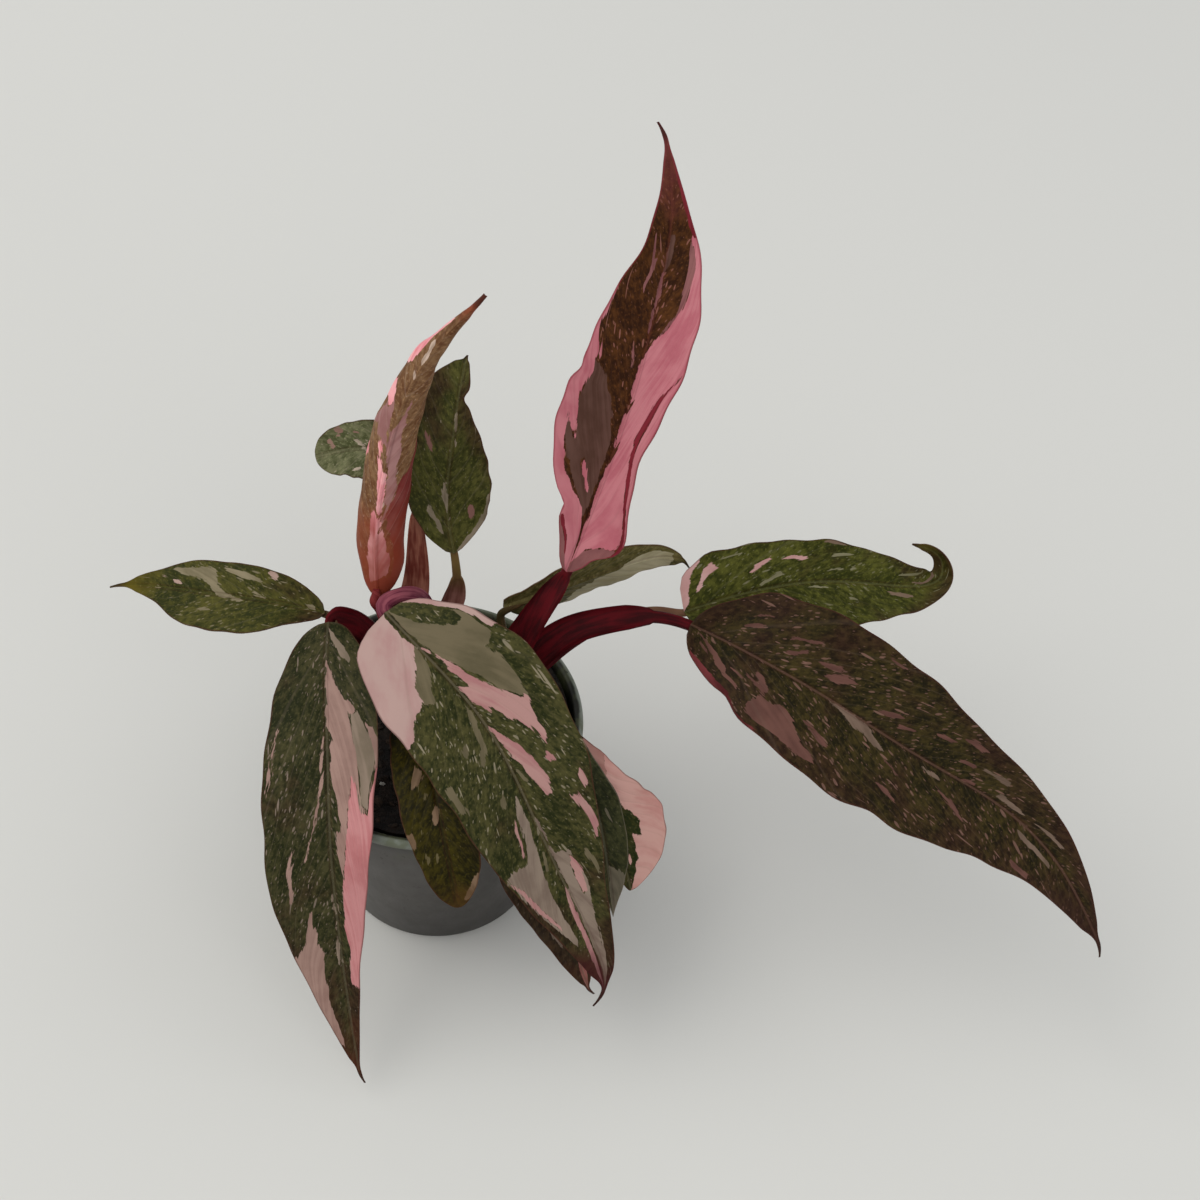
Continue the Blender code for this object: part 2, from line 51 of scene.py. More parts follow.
# Camera, floor and lights, each light with its place, size, power and colour
CAMERA_PLACE = (0.0332, -0.2437, 0.3814)
CAMERA_LOOKS_DOWN = 50
CAMERA_ROLL = 2.7
CAMERA_LENS = 60
CAMERA_SENSOR = 36
FLOOR_SIDE = 8
FLOOR_DROP = 0.1 * MM
FLOOR_COLOUR = (665, 655, 615)
WORLD_COLOUR = (0.93, 0.96, 1.0)
WORLD_STRENGTH = 0.65
LIGHTS_AIM = Vector((0.03, 0, 0.06))
LIGHTS = {
    "key": ((-1.0, 0.0, 1.3), 1.7, 12.6, (1.0, 0.985, 0.96)),
    "front": ((0.5, -1.2, 1.1), 1.5, 4.4, (1.0, 0.98, 0.95)),
    "side": ((1.1, 0.3, 0.9), 1.3, 1.9, (0.96, 0.97, 1.0)),
}

# Pot, as in its solid
POT_HEIGHT = 51 * MM
POT_RIM_RADIUS = 31 * MM
POT_BASE_RADIUS = 21.5 * MM
POT_WALL = 1.0 * MM
POT_FLOOR = 1.4 * MM
RIM_HEIGHT = 2.2 * MM
RIM_LIP = 0.9 * MM
DRAIN_RADIUS = 2.2 * MM
DRAIN_CIRCLE = 14.5 * MM
DRAINS = 6
DRAIN_TURN = 3
POT_SEGMENTS = 144

# Potting mix
SOIL_TOP = 46.5 * MM
SOIL_RINGS = 60
SOIL_SEGMENTS = 180

# Stems: centre, top height, radius at the foot and at the top, in millimetres
STEMS = {
    "stem_left": ((-7, 8.5), 61, 2.7, 2.1),
    "stem_right": ((16.5, 4.5), 67.5, 2.8, 2.2),
}
STEM_FOOT = 24
STEM_NODES = 5

# Leaf skins, in millimetres and degrees
BLADE = 0.55
BLADE_EDGE = 0.3
ROW_STEP = 0.45
COLUMN_STEP = 0.42
ROW_CROWDING = 1.3
COLUMN_CROWDING = 1.25
VEIN_SWEEP = 0.5
VEIN_GAP = 5
VEIN_LEAN = 28
WAVES = 3.5
BASE_ROUND = 0.045
TIP_ROUND = 0.07
TAIL_HALF_WIDTH = 0.36
STALK_SIDES = 28
STALK_RINGS = 70
RIB_SINK = 0.4

# Dots on the even face, then dashes and streaks along the side veins: the space that they lie in,
# its cells for each mm, a stroke's reach in its cell, its strength, and the key that says where it is
FLECKS = (
    ("even", (1.7, 0.6), 0.37, 0.45, "flecks"),
    ("even", (0.85, 0.26), 0.25, 0.6, "flecks"),
    ("vein", (0.26, 0.42), 0.24, 0.75, "flecks"),
    ("vein", (0.2, 0.16), 0.20, 0.65, "streaks"),
)

# Colours of surfaces are linear red, green and blue in thousandths
DUSKY_PINK = ((220, 105, 85), (145, 65, 50))
BROWN = (46, 21, 11)
DARK_BROWN = (20, 7, 4)
CRIMSON = (92, 4, 7)
MAROON = (34, 3, 4)
TAIL_TONE = (30, 14, 10)

TISSUES = ("pale", "rose", "pink", "wine")

# What a leaf has where it says nothing else
USUAL = dict(
    stalk_radius=(1.3, 0.8), sheath=(1.2, 0.3), lobe=1, rib=0.16, keel=1, turn=(0, 0), nicks=(),
    ripple=0.012, wave=0.45, red=[0], tip_tone=(85, 20, 9), margin=(70, 22, 14), rib_line=0.5,
    underside=0.65, stalk_tones=(MAROON, CRIMSON),
)

# Each leaf in millimetres, as in its solid. It starts with its midrib from base to tip and its
# stalk from the stem to the blade, as places x,y,z. Then come the way that its upper face looks,
# the half widths of its left and right sides at even steps from base to tip, and the angles of the
# two sides in degrees: fold is how far each rises from flat at the midrib, and turn how far it then
# turns up on its way to the margin. A tail is the length of the thin drip tip, and how far its end
# hooks along X, Y and Z. A nick is its side, its place along the leaf, its depth and its reach.
#
# Every tissue has two tones, the first of them the lighter one but for the ground. Flecks, streaks,
# brown and red follow the leaf from base to tip, from none at 0 to most at 10. A marking is a
# tissue and the corners of its outline in percent: along the leaf from its base, then across it
# from the midrib, with the left margin at -100 and the right one at 100. The markings are painted
# in order, each over the ones before, and ground uncovers it again.
LEAVES = {}

LEAVES["top_crimson"] = dict(
    midrib="26.3,14.3,82 31,19.5,96 36.5,27.5,113 41,37.5,131 43,48.5,148 40.5,55.5,160",
    stalk="16.8,4.8,68.8 19.2,7.6,72.6 23,11.4,77.5",
    stalk_radius=(1.9, 1.1), sheath=(1.75, 0.93), lobe=4, face=[(-0.15, -0.75, 0.6), (0.1, -0.85, 0.4)],
    left=[2, 5.5, 10.5, 13, 11.5, 9, 5, 2, 0], right=[1.5, 10.5, 8.6, 7.6, 8.8, 9, 5.8, 1.8, 0],
    fold=(12, 14), turn=(6, [30, 55, 45, 20, 8, 0]), tail=(3, -0.9, 0, 0),
    nicks=[(-1, 0.16, 1.1, 0.02), (-1, 0.47, 0.9, 0.02), (1, 0.07, 1.5, 0.03)],
    ground=((28, 9, 3), (85, 30, 8)), pink=((535, 188, 210), (440, 120, 148)),
    rose=((260, 105, 100), (190, 70, 70)), pale=((115, 56, 42), (76, 34, 23)),
    wine=((200, 20, 30), (120, 10, 15)), fleck=(300, 120, 90), flecks=[4, 5, 7, 7, 5],
    streaks=[1, 3, 7, 6, 2], brown=[0], red=[0, 0, 0, 2, 7.5], tip_tone=(190, 42, 42),
    margin=(240, 25, 40), rib_tone=(160, 30, 30), rib_line=0.2,
    # The rose at the base of the right side is partly mauve tissue, partly painted shade.
    # The thin wine arc and left wine line are partly the folded margin's back, partly painted shade.
    marks="""
    pink 0,120 0,5 5,0 20,-3 26,0 33,8 31,0 38,-2 43,10 41,0 50,-3 53,3 56,12 60,40 65,62 73,83 76,82
        77,75 78,85 77,120
    rose 0,0 2,0 5,20 10,60 14,120 0,120
    wine 6,104 16,87 21,76 26,61 31,49 36,46 43,60 51,95 43,74 36,61 31,63 21,89 8,112
    rose 56,20 60,38 63,55 68,70 71,82 75,85 77,78 75,68 68,58 62,43 57,18
    pale 14,-20 18,-12 25,-10 33,-12 38,-20 42,-30 48,-62 49,-80 45,-75 40,-80 37,-86 28,-78 20,-54 15,-33
    pink -1,-120 -1,0 5,-1 10,-8 14,-22 18,-50 24,-78 38,-86 33,-75 30,-62 40,-77 45,-76 50,-82 50,-72
        56,-92 66,-98 66,-120
    rose 0,-50 5,-58 10,-72 13,-92 14,-120 0,-120  wine 4,-56 9,-66 13,-86 14,-104 12,-92 8,-74 4,-62
    pink 20,-22 27,-43 26,-48 20,-28  rose 47,-13 50,-15 55,-24 52,-20  rose 57,-3 62,1 70,4 70,-5 62,-7
    rose 65,-38 73,-28 72,-42 66,-41  rose 71,-40 74,-44 78,-62 77,-67 73,-52  pale 70,0 78,2 78,20 72,16
    wine 78,84 93,60 101,40 101,120 77,120""",
)
LEAVES["new_rolled"] = dict(
    midrib="-11.4,14,72 -11.7,18.5,83 -10.2,24,96 -6.2,29.5,111 0.4,32.5,124 9.3,34,135",
    stalk="-7.3,8.8,62.1 -9.4,11.4,66.4 -10.9,13.2,69.6",
    stalk_radius=(1.7, 1.3), sheath=(1.4, 0.6), rib=0.03, keel=0.2,
    face=[(0.15, 0.8, -0.3), (0.1, 0.8, -0.3)], left=[3.5, 8, 10, 10, 8.8, 6.4, 4.1, 1.7, 0.3],
    right=[3.5, 8, 10, 10, 9, 6.6, 4.1, 1.7, 0.3], fold=(0, 0),
    turn=([80, 140, 140, 130, 90], [80, 128, 128, 120, 80]), tail=(2.4, 0.3, 0, 0.8),
    ground=((130, 56, 24), (240, 135, 66)), pink=((880, 420, 420), (740, 230, 260)),
    rose=((370, 190, 175), (270, 120, 110)), pale=((660, 500, 400), (460, 330, 240)),
    wine=((220, 60, 50), (160, 20, 20)), flecks=[0], streaks=[3, 6, 5, 6, 2], brown=[0],
    red=[10, 7.5, 3.5, 0, 0, 1, 9], tip_tone=(230, 40, 18), margin=(360, 120, 110), rib_line=0,
    underside=0, stalk_tones=((120, 12, 14), (200, 30, 30)),
    marks="""
    wine -1,120 4,120 6,20 6,-48 14,-40 27,-8 34,-16 40,-50 56,-84 62,-120 -1,-120
    pink 5,22 7,-34 11,-34 26,-2 27,8 12,20
    rose 20,-4 28,-12 40,-4 50,10 60,20 57,45 52,60 46,100 52,40 44,18 62,-18 45,-20 32,-26
    pink 22,1 27,-9 32,-9 38,-2 48,22 30,4  pink 38,82 42,80 44,60 42,42 39,60
    pink 54,120 58,80 59,50 57,32 59,22 62,30 65,55 65,80 62,120
    pink 68,120 70,60 72,36 78,42 82,50 88,45 90,60 91,120  pale 73,2 75,14 78,15 80,32 82,28 81,10 77,-3""",
)
LEAVES["back_upright"] = dict(
    midrib="3.1,24.5,74.2 1.4,30,83.6 2.2,35.5,94.2 3.1,41,101 4.4,48.5,107",
    stalk="-4.7,11.2,52.5 0,18,58 3.2,23.2,64.5 3.4,24.2,70",
    stalk_radius=(1.5, 0.8), sheath=(2.2, 0.78), lobe=5, face=[(0.1, -0.7, 0.6)],
    left=[1.5, 5, 7.5, 8.5, 8.5, 7.8, 7, 5.8, 1], right=[1.5, 6.5, 8.5, 8.8, 7.6, 5.4, 2.4, 1.8, 0.6],
    fold=(10, 10), tail=(0.7, 0.2, 0, 0), nicks=[(1, 0.79, 1, 0.03)],
    ground=((30, 32, 6), (90, 85, 21)), rose=DUSKY_PINK, pale=((270, 215, 150), (160, 125, 80)),
    flecks=[1, 2, 2, 2, 1], streaks=[2, 4, 4, 3, 2], brown=[3, 1, 3, 4, 3], rib_line=0.15,
    stalk_tones=((160, 55, 42), (310, 140, 110), (170, 110, 35)),
    # The pale stroke along the midrib from 56 to 73 percent is a painted highlight.
    marks="""
    pale 18,1 28,1 37,-3 37,-10 34,-13  pale 42,12 51,23 50,18 46,13  pale 56,13 71,8 73,2 68,-2 58,6
    rose 16,66 25,66 26,55 24,50 18,57  pale 11,-30 15,-25 27,-48 24,-58 12,-38
    rose 52,-45 56,-47 60,-60 63,-82 54,-58  pale 0,120 0,50 6,62 10,78 24,90 34,93 36,120""",
)
LEAVES["back_small"] = dict(
    midrib="-5.6,33.7,83 -9.5,40,85.5 -18.5,42.5,85 -27,42.5,82",
    stalk="-9.1,12,51.5 -7,17.5,58 -4.8,23,67 -5,29,76",
    stalk_radius=(1.5, 0.9), sheath=(3, 0.88), face=[(0, -0.5, 0.8)],
    left=[1.5, 4.5, 6, 6.5, 6.5, 6.2, 5.6, 4.6, 2.6], right=[1.5, 4, 5.5, 6, 6, 5.8, 5.4, 4.4, 2.4],
    fold=(6, 6), round_tip=True,
    ground=((58, 64, 22), (160, 158, 78)), rose=((270, 160, 120), (200, 110, 80)),
    pale=((460, 370, 280), (220, 170, 120)), flecks=[2], streaks=[3], brown=[0, 0, 1, 2], rib_line=0.1,
    stalk_tones=((150, 30, 20), (370, 145, 95)),
    marks="""
    pale 54,-8 64,36 66,30 60,-5  rose 63,58 67,72 67,58  rose 76,58 76,120 80,120 79,58
    rose 82,18 82,45 85,64 88,60 85,12  pale 60,-68 68,-66 68,-76 61,-74""",
)
LEAVES["left"] = dict(
    midrib="-23.3,17.3,62 -35,19,63 -48,22,61 -59.5,25.7,58 -71,29,54",
    stalk="-10.5,9.4,53 -14.5,12.8,57.5 -19,15.6,60.8",
    face=[(0, -0.5, 1)], left=[1.5, 4, 7, 8, 8, 6.8, 3.6, 1.4, 0.4],
    right=[2, 5, 6.5, 7, 7, 6.2, 4, 1.8, 0.4], fold=(8, 8), turn=(0, -6), tail=(3, -0.3, -0.4, -0.4),
    ripple=0.006, wave=0.25,
    ground=((23, 26, 4), (77, 70, 14)), rose=((400, 270, 220), (290, 180, 140)),
    pale=((250, 205, 125), (170, 140, 80)), flecks=[3, 6, 7, 5, 2], streaks=[3, 6, 7, 4, 2],
    brown=[4, 2, 1, 0, 0], red=[0, 0, 1, 4, 8], tip_tone=(112, 82, 4), rib_line=0,
    stalk_tones=((50, 35, 12), (110, 60, 30)),
    marks="""
    pale 27,45 30,55 38,62 45,75 47,82 46,88 36,78 28,56
    pale 33,-17 40,-8 46,-5 50,10 51,25 54,40 65,52 70,80 69,90 65,76 53,81 49,72 49,55 47,30 44,12 36,-5
    rose 21,92 22,65 24,70 26,80 26,94  pale 26,8 29,15 31,27 32,19 28,8
    rose 71,44 74,60 77,67 76,55 73,43  rose 64,20 66,34 69,36 67,22  pale 4,5 5,35 8,20 7,0
    pale 48,-44 55,-47 60,-52 54,-50  pale 73,-2 76,0 78,-10 75,-12""",
)
LEAVES["front_left"] = dict(
    midrib="-21.9,12.6,65 -20.6,-1,66.5 -18.5,-18.5,61 -17,-32,50.5 -14.8,-44,28 -10.8,-59,5",
    stalk="-12.1,7.2,56.5 -13.2,10.8,63.6 -17.3,13,66 -20.8,13.8,65.9",
    stalk_radius=(1.8, 1), sheath=(2.3, 0.85), lobe=4,
    face=[(0, -0.5, 0.8), (0, -0.7, 0.6), (0, -0.9, 0.3)],
    left=[3.5, 8.5, 10.2, 9.4, 7.8, 5.8, 3.6, 1.6, 0],
    right=[3.5, 8.5, 11.5, 12.8, 13, 11.8, 8.6, 4.2, 0], fold=(10, 6), turn=(-6, -8),
    tail=(2.5, 0.8, 0, 0),
    ground=((16, 18, 5), (58, 52, 20)), pink=((540, 235, 230), (440, 155, 155)),
    rose=((345, 215, 175), (260, 155, 125)), pale=((255, 190, 140), (185, 142, 98)),
    fleck=(250, 185, 145), flecks=[5, 7, 7, 4, 2], streaks=[4, 5, 6, 4, 1], brown=[1, 1, 2, 4, 7],
    red=[1, 0, 0, 1, 7], rib_line=0.2,
    marks="""
    rose 11,0 25,-2 28,-10 29,-4 36,-8 40,-20 44,-28 46,-22 45,-14 50,-18 54,-28 66,-25 69,-33 70,-45
        78,-40 80,-120 31,-120 18,-28
    pale 23,-45 36,-65 41,-70 41,-88 31,-95 28,-85 23,-60
    pink 35,-50 48,-40 55,-30 66,-27 69,-36 70,-47 78,-42 80,-120 33,-120 34,-96 42,-88 42,-70 37,-60
    pale 2,-8 5,-15 10,-35 13,-55 12,-62 8,-50 4,-30  rose 45,-13 50,-20 55,-33 52,-30 47,-20
    rose 26,6 33,8 36,6 49,33 55,48 41,19 36,11 33,13  rose 48,55 50,62 54,70 60,70 60,66 53,61
    rose 62,40 66,58 69,68 75,120 90,120 92,80 90,62 82,60 78,48 70,35 70,42 65,42
    rose 30,87 36,89 36,94 30,93  rose 37,90 43,92 43,97 37,97  rose 25,81 29,85 28,90 25,87
    pale 58,4 64,3 70,9 74,10 74,6 64,-1  pale 60,-4 62,-9 61,-15 60,-9""",
)
LEAVES["front_large"] = dict(
    midrib="-8.8,5.2,78 0,-4.2,77 12,-15.3,71 21,-26,60 "
           "29,-34.7,45 35,-40.8,34 37.7,-45.4,25.5 36.6,-47.8,21",
    stalk="-2.9,9.9,55.5 -1.2,12,64.6 -1.8,12.3,72.6 -5.6,10.5,77 -9.3,7.5,77.4",
    stalk_radius=(1.9, 1.6), sheath=(1.3, 0.8), face=[(0, -0.5, 0.8), (0.1, -0.6, 0.7), (0.1, -0.8, 0.5)],
    left=[6, 12.5, 15.8, 15.4, 13.8, 10.8, 6.8, 3.4, 0], right=[9, 13.6, 15, 14.5, 13, 10.6, 7.6, 4, 0],
    fold=(6, 6), turn=(-12, -4), tail=(3.6, -0.9, -0.2, 0.2),
    ground=((16, 19, 4), (66, 60, 19)), pink=((440, 290, 255), (400, 230, 210)),
    rose=((420, 230, 205), (360, 160, 155)), pale=((145, 116, 66), (100, 82, 44)),
    wine=((245, 185, 140), (175, 125, 95)), fleck=(300, 250, 170), flecks=[3, 7, 6, 4, 2],
    streaks=[4, 6, 7, 5, 2], brown=[0, 0.5, 1.5, 3.5, 8], red=[0, 0, 0, 0, 10], tip_tone=(50, 6, 9),
    rib_tone=(130, 100, 65), stalk_tones=((100, 14, 30), (260, 70, 90)),
    marks="""
    pale 0,-12 5,-5 10,-5 25,-30 29,-40 32,-63 25,-66 20,-63 20,-75 19,-88 10,-86 0,-60
    ground 0,-50 1,-20 3,-22 9,-42 13,-62 13,-78 8,-84 4,-78 1,-70  pink 0,-120 2,-78 8,-87 18,-92 20,-120
    pink 0,120 0,15 5,8 10,5 14,9 20,40 22,68 26,88 27,120  pale 10,3 15,5 22,34 21,48 17,38
    rose 12,-3 17,-10 24,-12 23,-4 27,-3 34,-32 38,-52 41,-57 38,-65 37,-60 32,-62 29,-42 25,-28 20,-22
        16,-14
    rose 32,-1 37,-5 42,-12 50,-28 50,-40 47,-40 42,-32  pale 43,-6 45,-10 48,-21 46,-16
    rose 43,-47 45,-57 44,-61 42,-51  rose 52,-61 54,-66 57,-78 61,-88 63,-86 63,-92 60,-97 52,-73
    rose 49,-80 52,-87 51,-92 48,-84  pale 33,35 35,38 36,47 34,49
    pale 24,3 29,6 34,12 38,22 40,37 37,32 35,22 30,13 26,8  pale 46,27 49,27 49,37 47,35
    pale 39,80 47,84 46,92 40,90
    wine 47,12 56,27 60,36 62,48 62,72 63,98 70,92 78,80 84,60 82,46 68,32 61,20 50,7
    rose 50,22 60,42 62,54 60,46 55,36  rose 64,96 72,86 79,70 78,64 65,86
    wine 54,-2 62,-10 63,-35 72,-54 88,-44 95,-30 96,-4 88,4 80,2 70,-3
    ground 76,-48 86,-36 84,-40 78,-56  rose 70,1 76,16 83,25 90,40 97,50 97,30 85,10 73,0
    rose 64,-32 66,-27 70,-30 73,-35 73,-50 68,-48 66,-42  pale 63,-62 69,-88 71,-86 65,-60
    pale 61,8 65,16 65,20 61,12""",
)
LEAVES["front_low"] = dict(
    midrib="-0.8,-2.9,62 2.4,-21,59 6,-33.5,52 8.2,-38.6,41",
    stalk="-5.8,5.2,52.5 -3.6,1.8,58 -1.8,-0.8,61.2",
    stalk_radius=(1.4, 0.9), face=[(0, -0.5, 0.8), (0, -0.8, 0.5)],
    left=[3.5, 7, 8, 8.2, 8, 7.5, 6.5, 4.8, 2.2], right=[3.5, 7, 7.8, 7.8, 7.6, 7, 5.9, 4.4, 2],
    fold=(5, 5), turn=(-8, -8), round_tip=True,
    ground=((10, 8, 1), (40, 31, 3)), rose=((200, 125, 75), (130, 80, 45)),
    pale=((120, 95, 45), (85, 65, 28)), flecks=[3, 3, 3, 1], streaks=[2, 3, 2, 0], brown=[0, 0, 1, 2, 2],
    red=[0, 0, 0, 1.5, 6], tip_tone=(80, 34, 7), rib_tone=(20, 14, 4),
    stalk_tones=((10, 8, 1), (100, 40, 20)),
    marks="""
    rose 33,40 43,60 42,45 43,38 40,35 38,25  rose 51,5 54,15 57,20 60,19 61,10 58,2 54,0
    pale 47,22 50,33 49,35 46,25  pale 71,66 73,71 76,69 75,57 72,59  pale 73,28 75,36 74,40 72,32
    rose 61,80 68,84 68,120 62,120  rose 80,-120 84,-84 96,-50 96,-120""",
)
LEAVES["front_under"] = dict(
    midrib="12.4,-4.3,60 19,-21,57.5 27,-33.2,41.5 35,-41.5,14",
    stalk="14.6,1.2,51.8 13.2,-1.4,56.5 12.6,-3,58.9",
    stalk_radius=(1.4, 0.9), face=[(0, -0.5, 0.8), (0, -0.8, 0.5)],
    left=[3, 5.5, 7, 7.5, 7, 6, 4.4, 2.4, 0], right=[3, 7, 9, 10, 9.6, 8, 5.6, 3, 0], fold=(4, 12),
    turn=(-6, 0), tail=(1.8, 0.8, 0, 0.4),
    ground=((10, 15, 5), (34, 40, 14)), pink=((340, 130, 110), (250, 90, 75)), rose=DUSKY_PINK,
    pale=((170, 120, 90), (110, 80, 55)), flecks=[5, 5, 4, 2, 0], streaks=[3, 4, 4, 2, 0],
    brown=[3, 3, 5, 8, 10], red=[0, 0, 1, 3, 5],
    marks="""
    pink 80,-4 92,25 98,30 99,-40 92,-46  pale 66,60 74,62 80,50 76,44""",
)
LEAVES["right_dark"] = dict(
    midrib="23,-2,62.5 29.7,-12,58.5 35.2,-20,46.5 39,-30.6,27",
    stalk="18.9,2.1,56 21.6,-0.3,60 22.6,-1.4,61.7",
    face=[(0.2, -0.5, 0.8), (0.3, -0.6, 0.5)], left=[1, 1.6, 2.4, 3.6, 4.8, 5, 4.4, 2.8, 0],
    right=[2, 4, 5, 5.4, 5.2, 4.6, 3.4, 1.8, 0], fold=(6, 6), turn=(-6, -6),
    ground=((15, 18, 6), (50, 50, 18)), rose=DUSKY_PINK, pale=((150, 125, 85), (105, 90, 60)),
    flecks=[3, 3, 2, 1], streaks=[2, 2, 2, 0], brown=[1], margin=(190, 155, 115),
    marks="""
    pale 76,-8 82,-90 82,-120 101,-120 101,20 88,12  pale 52,-25 56,-38 59,-52 53,-34""",
)
LEAVES["right_pink"] = dict(
    midrib="24.8,-4.5,55.5 31,-13,53 36.2,-18.4,43 40.6,-22.4,34.6 42.4,-25,28.4",
    stalk="19.7,3,50.9 22.8,-0.6,54 24,-3,55",
    stalk_radius=(1.2, 0.8), face=[(0.25, -0.5, 0.8), (0.35, -0.6, 0.5)],
    left=[2, 3.9, 5.8, 7.8, 10.2, 12.3, 11.4, 8.4, 3], right=[2, 3, 4, 4.4, 4.4, 4, 3.2, 2, 1],
    fold=(6, 6), turn=(-6, -8), round_tip=True,
    ground=((16, 22, 4), (50, 46, 12)), pink=((620, 350, 300), (540, 260, 225)),
    rose=((460, 240, 200), (370, 170, 140)), pale=((155, 130, 70), (105, 88, 45)), flecks=[2, 4, 5, 4],
    streaks=[3], brown=[2], red=[0, 0, 0, 1, 2],
    marks="""
    pink 12,-120 15,-60 20,-45 30,-46 40,-44 46,-40 57,-45 60,-50 66,-52 74,-50 72,-42 70,-38 77,-37
        101,-15 101,-120
    rose 12,-120 16,-52 24,-44 36,-47 35,-62 28,-80 24,-120  pink 76,-20 84,-12 96,-8 84,-16""",
)
LEAVES["right_large"] = dict(
    midrib="51.7,13,69.2 61.5,5,72 79,-5,70 96.5,-12.2,63 114.3,-17.3,54 127,-26,46 136,-40.5,37",
    stalk="19.9,6,64 26.5,9.8,68.2 35,12.2,70 45,13.8,70",
    stalk_radius=(1.9, 1.1), sheath=(1.8, 0.76), lobe=5,
    face=[(0, -0.5, 0.8), (0, -0.5, 0.8), (0.2, -0.6, 0.7)],
    left=[4.5, 13, 15.4, 15.2, 13, 9.4, 6.4, 3.4, 0], right=[4.5, 10.4, 14.2, 15.7, 15, 13, 9.6, 5, 0],
    fold=(8, 8), turn=(-8, -6), tail=(3, -1, 0, 0), nicks=[(1, 0.14, 1, 0.025), (1, 0.46, 0.5, 0.03)],
    ripple=0.014, wave=0.3,
    ground=((10, 8, 2), (45, 32, 8)), pink=((170, 34, 36), (60, 9, 10)),
    rose=((135, 60, 46), (90, 39, 30)), pale=((170, 114, 82), (115, 75, 52)),
    wine=((105, 8, 12), (60, 4, 6)), fleck=(200, 105, 80), flecks=[7, 8, 8, 7, 4],
    streaks=[5, 6, 7, 7, 2], brown=[5, 4.5, 3.5, 4.5, 7], red=[2, 0, 0, 1, 8], tip_tone=(30, 12, 9),
    rib_tone=(130, 60, 45),
    marks="""
    rose 18,85 30,85 34,82 32,75 29,68 28,58 25,48 24,40 22,54 20,50 20,35 18,22 16,18 18,36 15,36 19,43
        19,55 18,68
    rose 3,15 5,22 11,48 12,68 10,60 3,22  rose 11,42 15,46 15,51 12,48  rose 4,38 7,50 7,56 4,45
    rose 12,61 15,68 15,73 12,67  rose 28,43 31,46 34,53 33,57 29,48  rose 36,29 38,34 38,39 36,34
    rose 43,25 45,30 48,41 46,36  rose 44,59 47,64 49,71 46,68  rose 54,24 58,33 61,45 62,52 55,30
    pink 3,88 7,82 12,88 16,95 22,97 24,120 3,120  pale 28,0 41,19 43,20 40,8 38,2 34,-1
    pale 50,9 54,11 54,14 50,12  pale 72,15 81,20 81,28 73,24  rose 75,70 80,80 80,92 76,84
    rose 27,-20 30,-22 33,-35 33,-39 30,-35 28,-28  rose 24,-30 27,-33 30,-40 29,-43 25,-35
    rose 37,-18 40,-22 43,-32 42,-35 39,-27  rose 43,-18 46,-23 46,-27 43,-22
    rose 10,-35 13,-42 15,-53 12,-47  rose 10,-50 13,-58 15,-67 11,-60  rose 19,-21 23,-36 23,-40 19,-26
    rose 19,-44 24,-53 24,-57 19,-49  rose 50,-43 53,-46 54,-52 51,-50  rose 56,-28 59,-32 59,-39 57,-36
    rose 55,-65 59,-66 60,-78 57,-76  rose 35,-83 39,-87 39,-92 35,-88  rose 58,-1 61,-4 61,-11 58,-7
    pale 60,-38 66,-48 66,-57 61,-46  pale 65,-12 71,-14 72,-24 66,-25  pale 73,-22 80,-42 80,-55 74,-32""",
)
LEAVES["right_upper"] = dict(
    midrib="50.4,17.1,68 61.6,20,71 78.4,25.8,69.5 94,29.6,65 104.6,33.8,63 104,36.4,67 98,36.5,70.2",
    stalk="18.6,6.7,55.8 27,12.8,60.5 36,16.6,64.6 45,18,67",
    face=[(0, -0.5, 0.9), (0, -0.5, 0.9), (0, -0.5, 0.9), (-0.7, -0.3, 0.3)],
    left=[7, 9.8, 9.4, 9, 8, 6.4, 4, 1.9, 0.5], right=[4, 8.6, 10.4, 10.5, 9.6, 7.8, 5, 2.2, 0.5],
    fold=(8, 8), tail=(1.2, 0, 0, 0), ripple=0.02,
    ground=((26, 29, 3), (88, 88, 15)), pink=((600, 360, 330), (500, 260, 240)),
    rose=((190, 125, 85), (140, 90, 60)), pale=((220, 200, 115), (150, 135, 70)), flecks=[6, 7, 7, 6, 4],
    streaks=[4, 5, 5, 3, 1], brown=[0, 0, 1, 4, 5], red=[0, 0, 0, 0, 8], tip_tone=(85, 62, 10),
    rib_line=0.2, stalk_tones=(MAROON, CRIMSON, (200, 105, 60)),
    # The pale stroke from 68 to 77 percent on the left near the tip is a painted highlight.
    marks="""
    pink 0,-120 0,-5 2,-20 3,-45 5,-80 8,-92 11,-120
    pink 4,-35 6,-33 10,-60 13,-68 12,-79 9,-74 8,-62 6,-50 5,-40  pink 22,-40 25,-48 28,-60 29,-70 23,-50
    pink 31,-58 35,-57 37,-54 39,-58 36,-63 35,-68  pale 27,-37 28,-40 28,-46 27,-43
    pale 24,-9 32,-22 30,-31 24,-15  pale 21,-28 23,-25 24,-33 22,-36  pale 46,-57 53,-75 50,-75 47,-66
    pale 45,-24 50,-31 50,-35 46,-30  pale 52,-29 54,-38 53,-44 52,-36
    rose 43,-92 47,-90 52,-92 50,-98 44,-97  rose 64,20 66,35 70,42 73,42 73,34 68,27 65,20
    pale 38,10 42,14 45,14 40,8  pale 51,38 54,43 54,40 52,35  pale 41,41 44,52 46,53 43,46
    pale 68,-38 75,-58 77,-75 74,-68 70,-52  rose 73,-20 76,-8 79,-15 82,-45 84,-85 82,-75 80,-45 77,-20""",
)
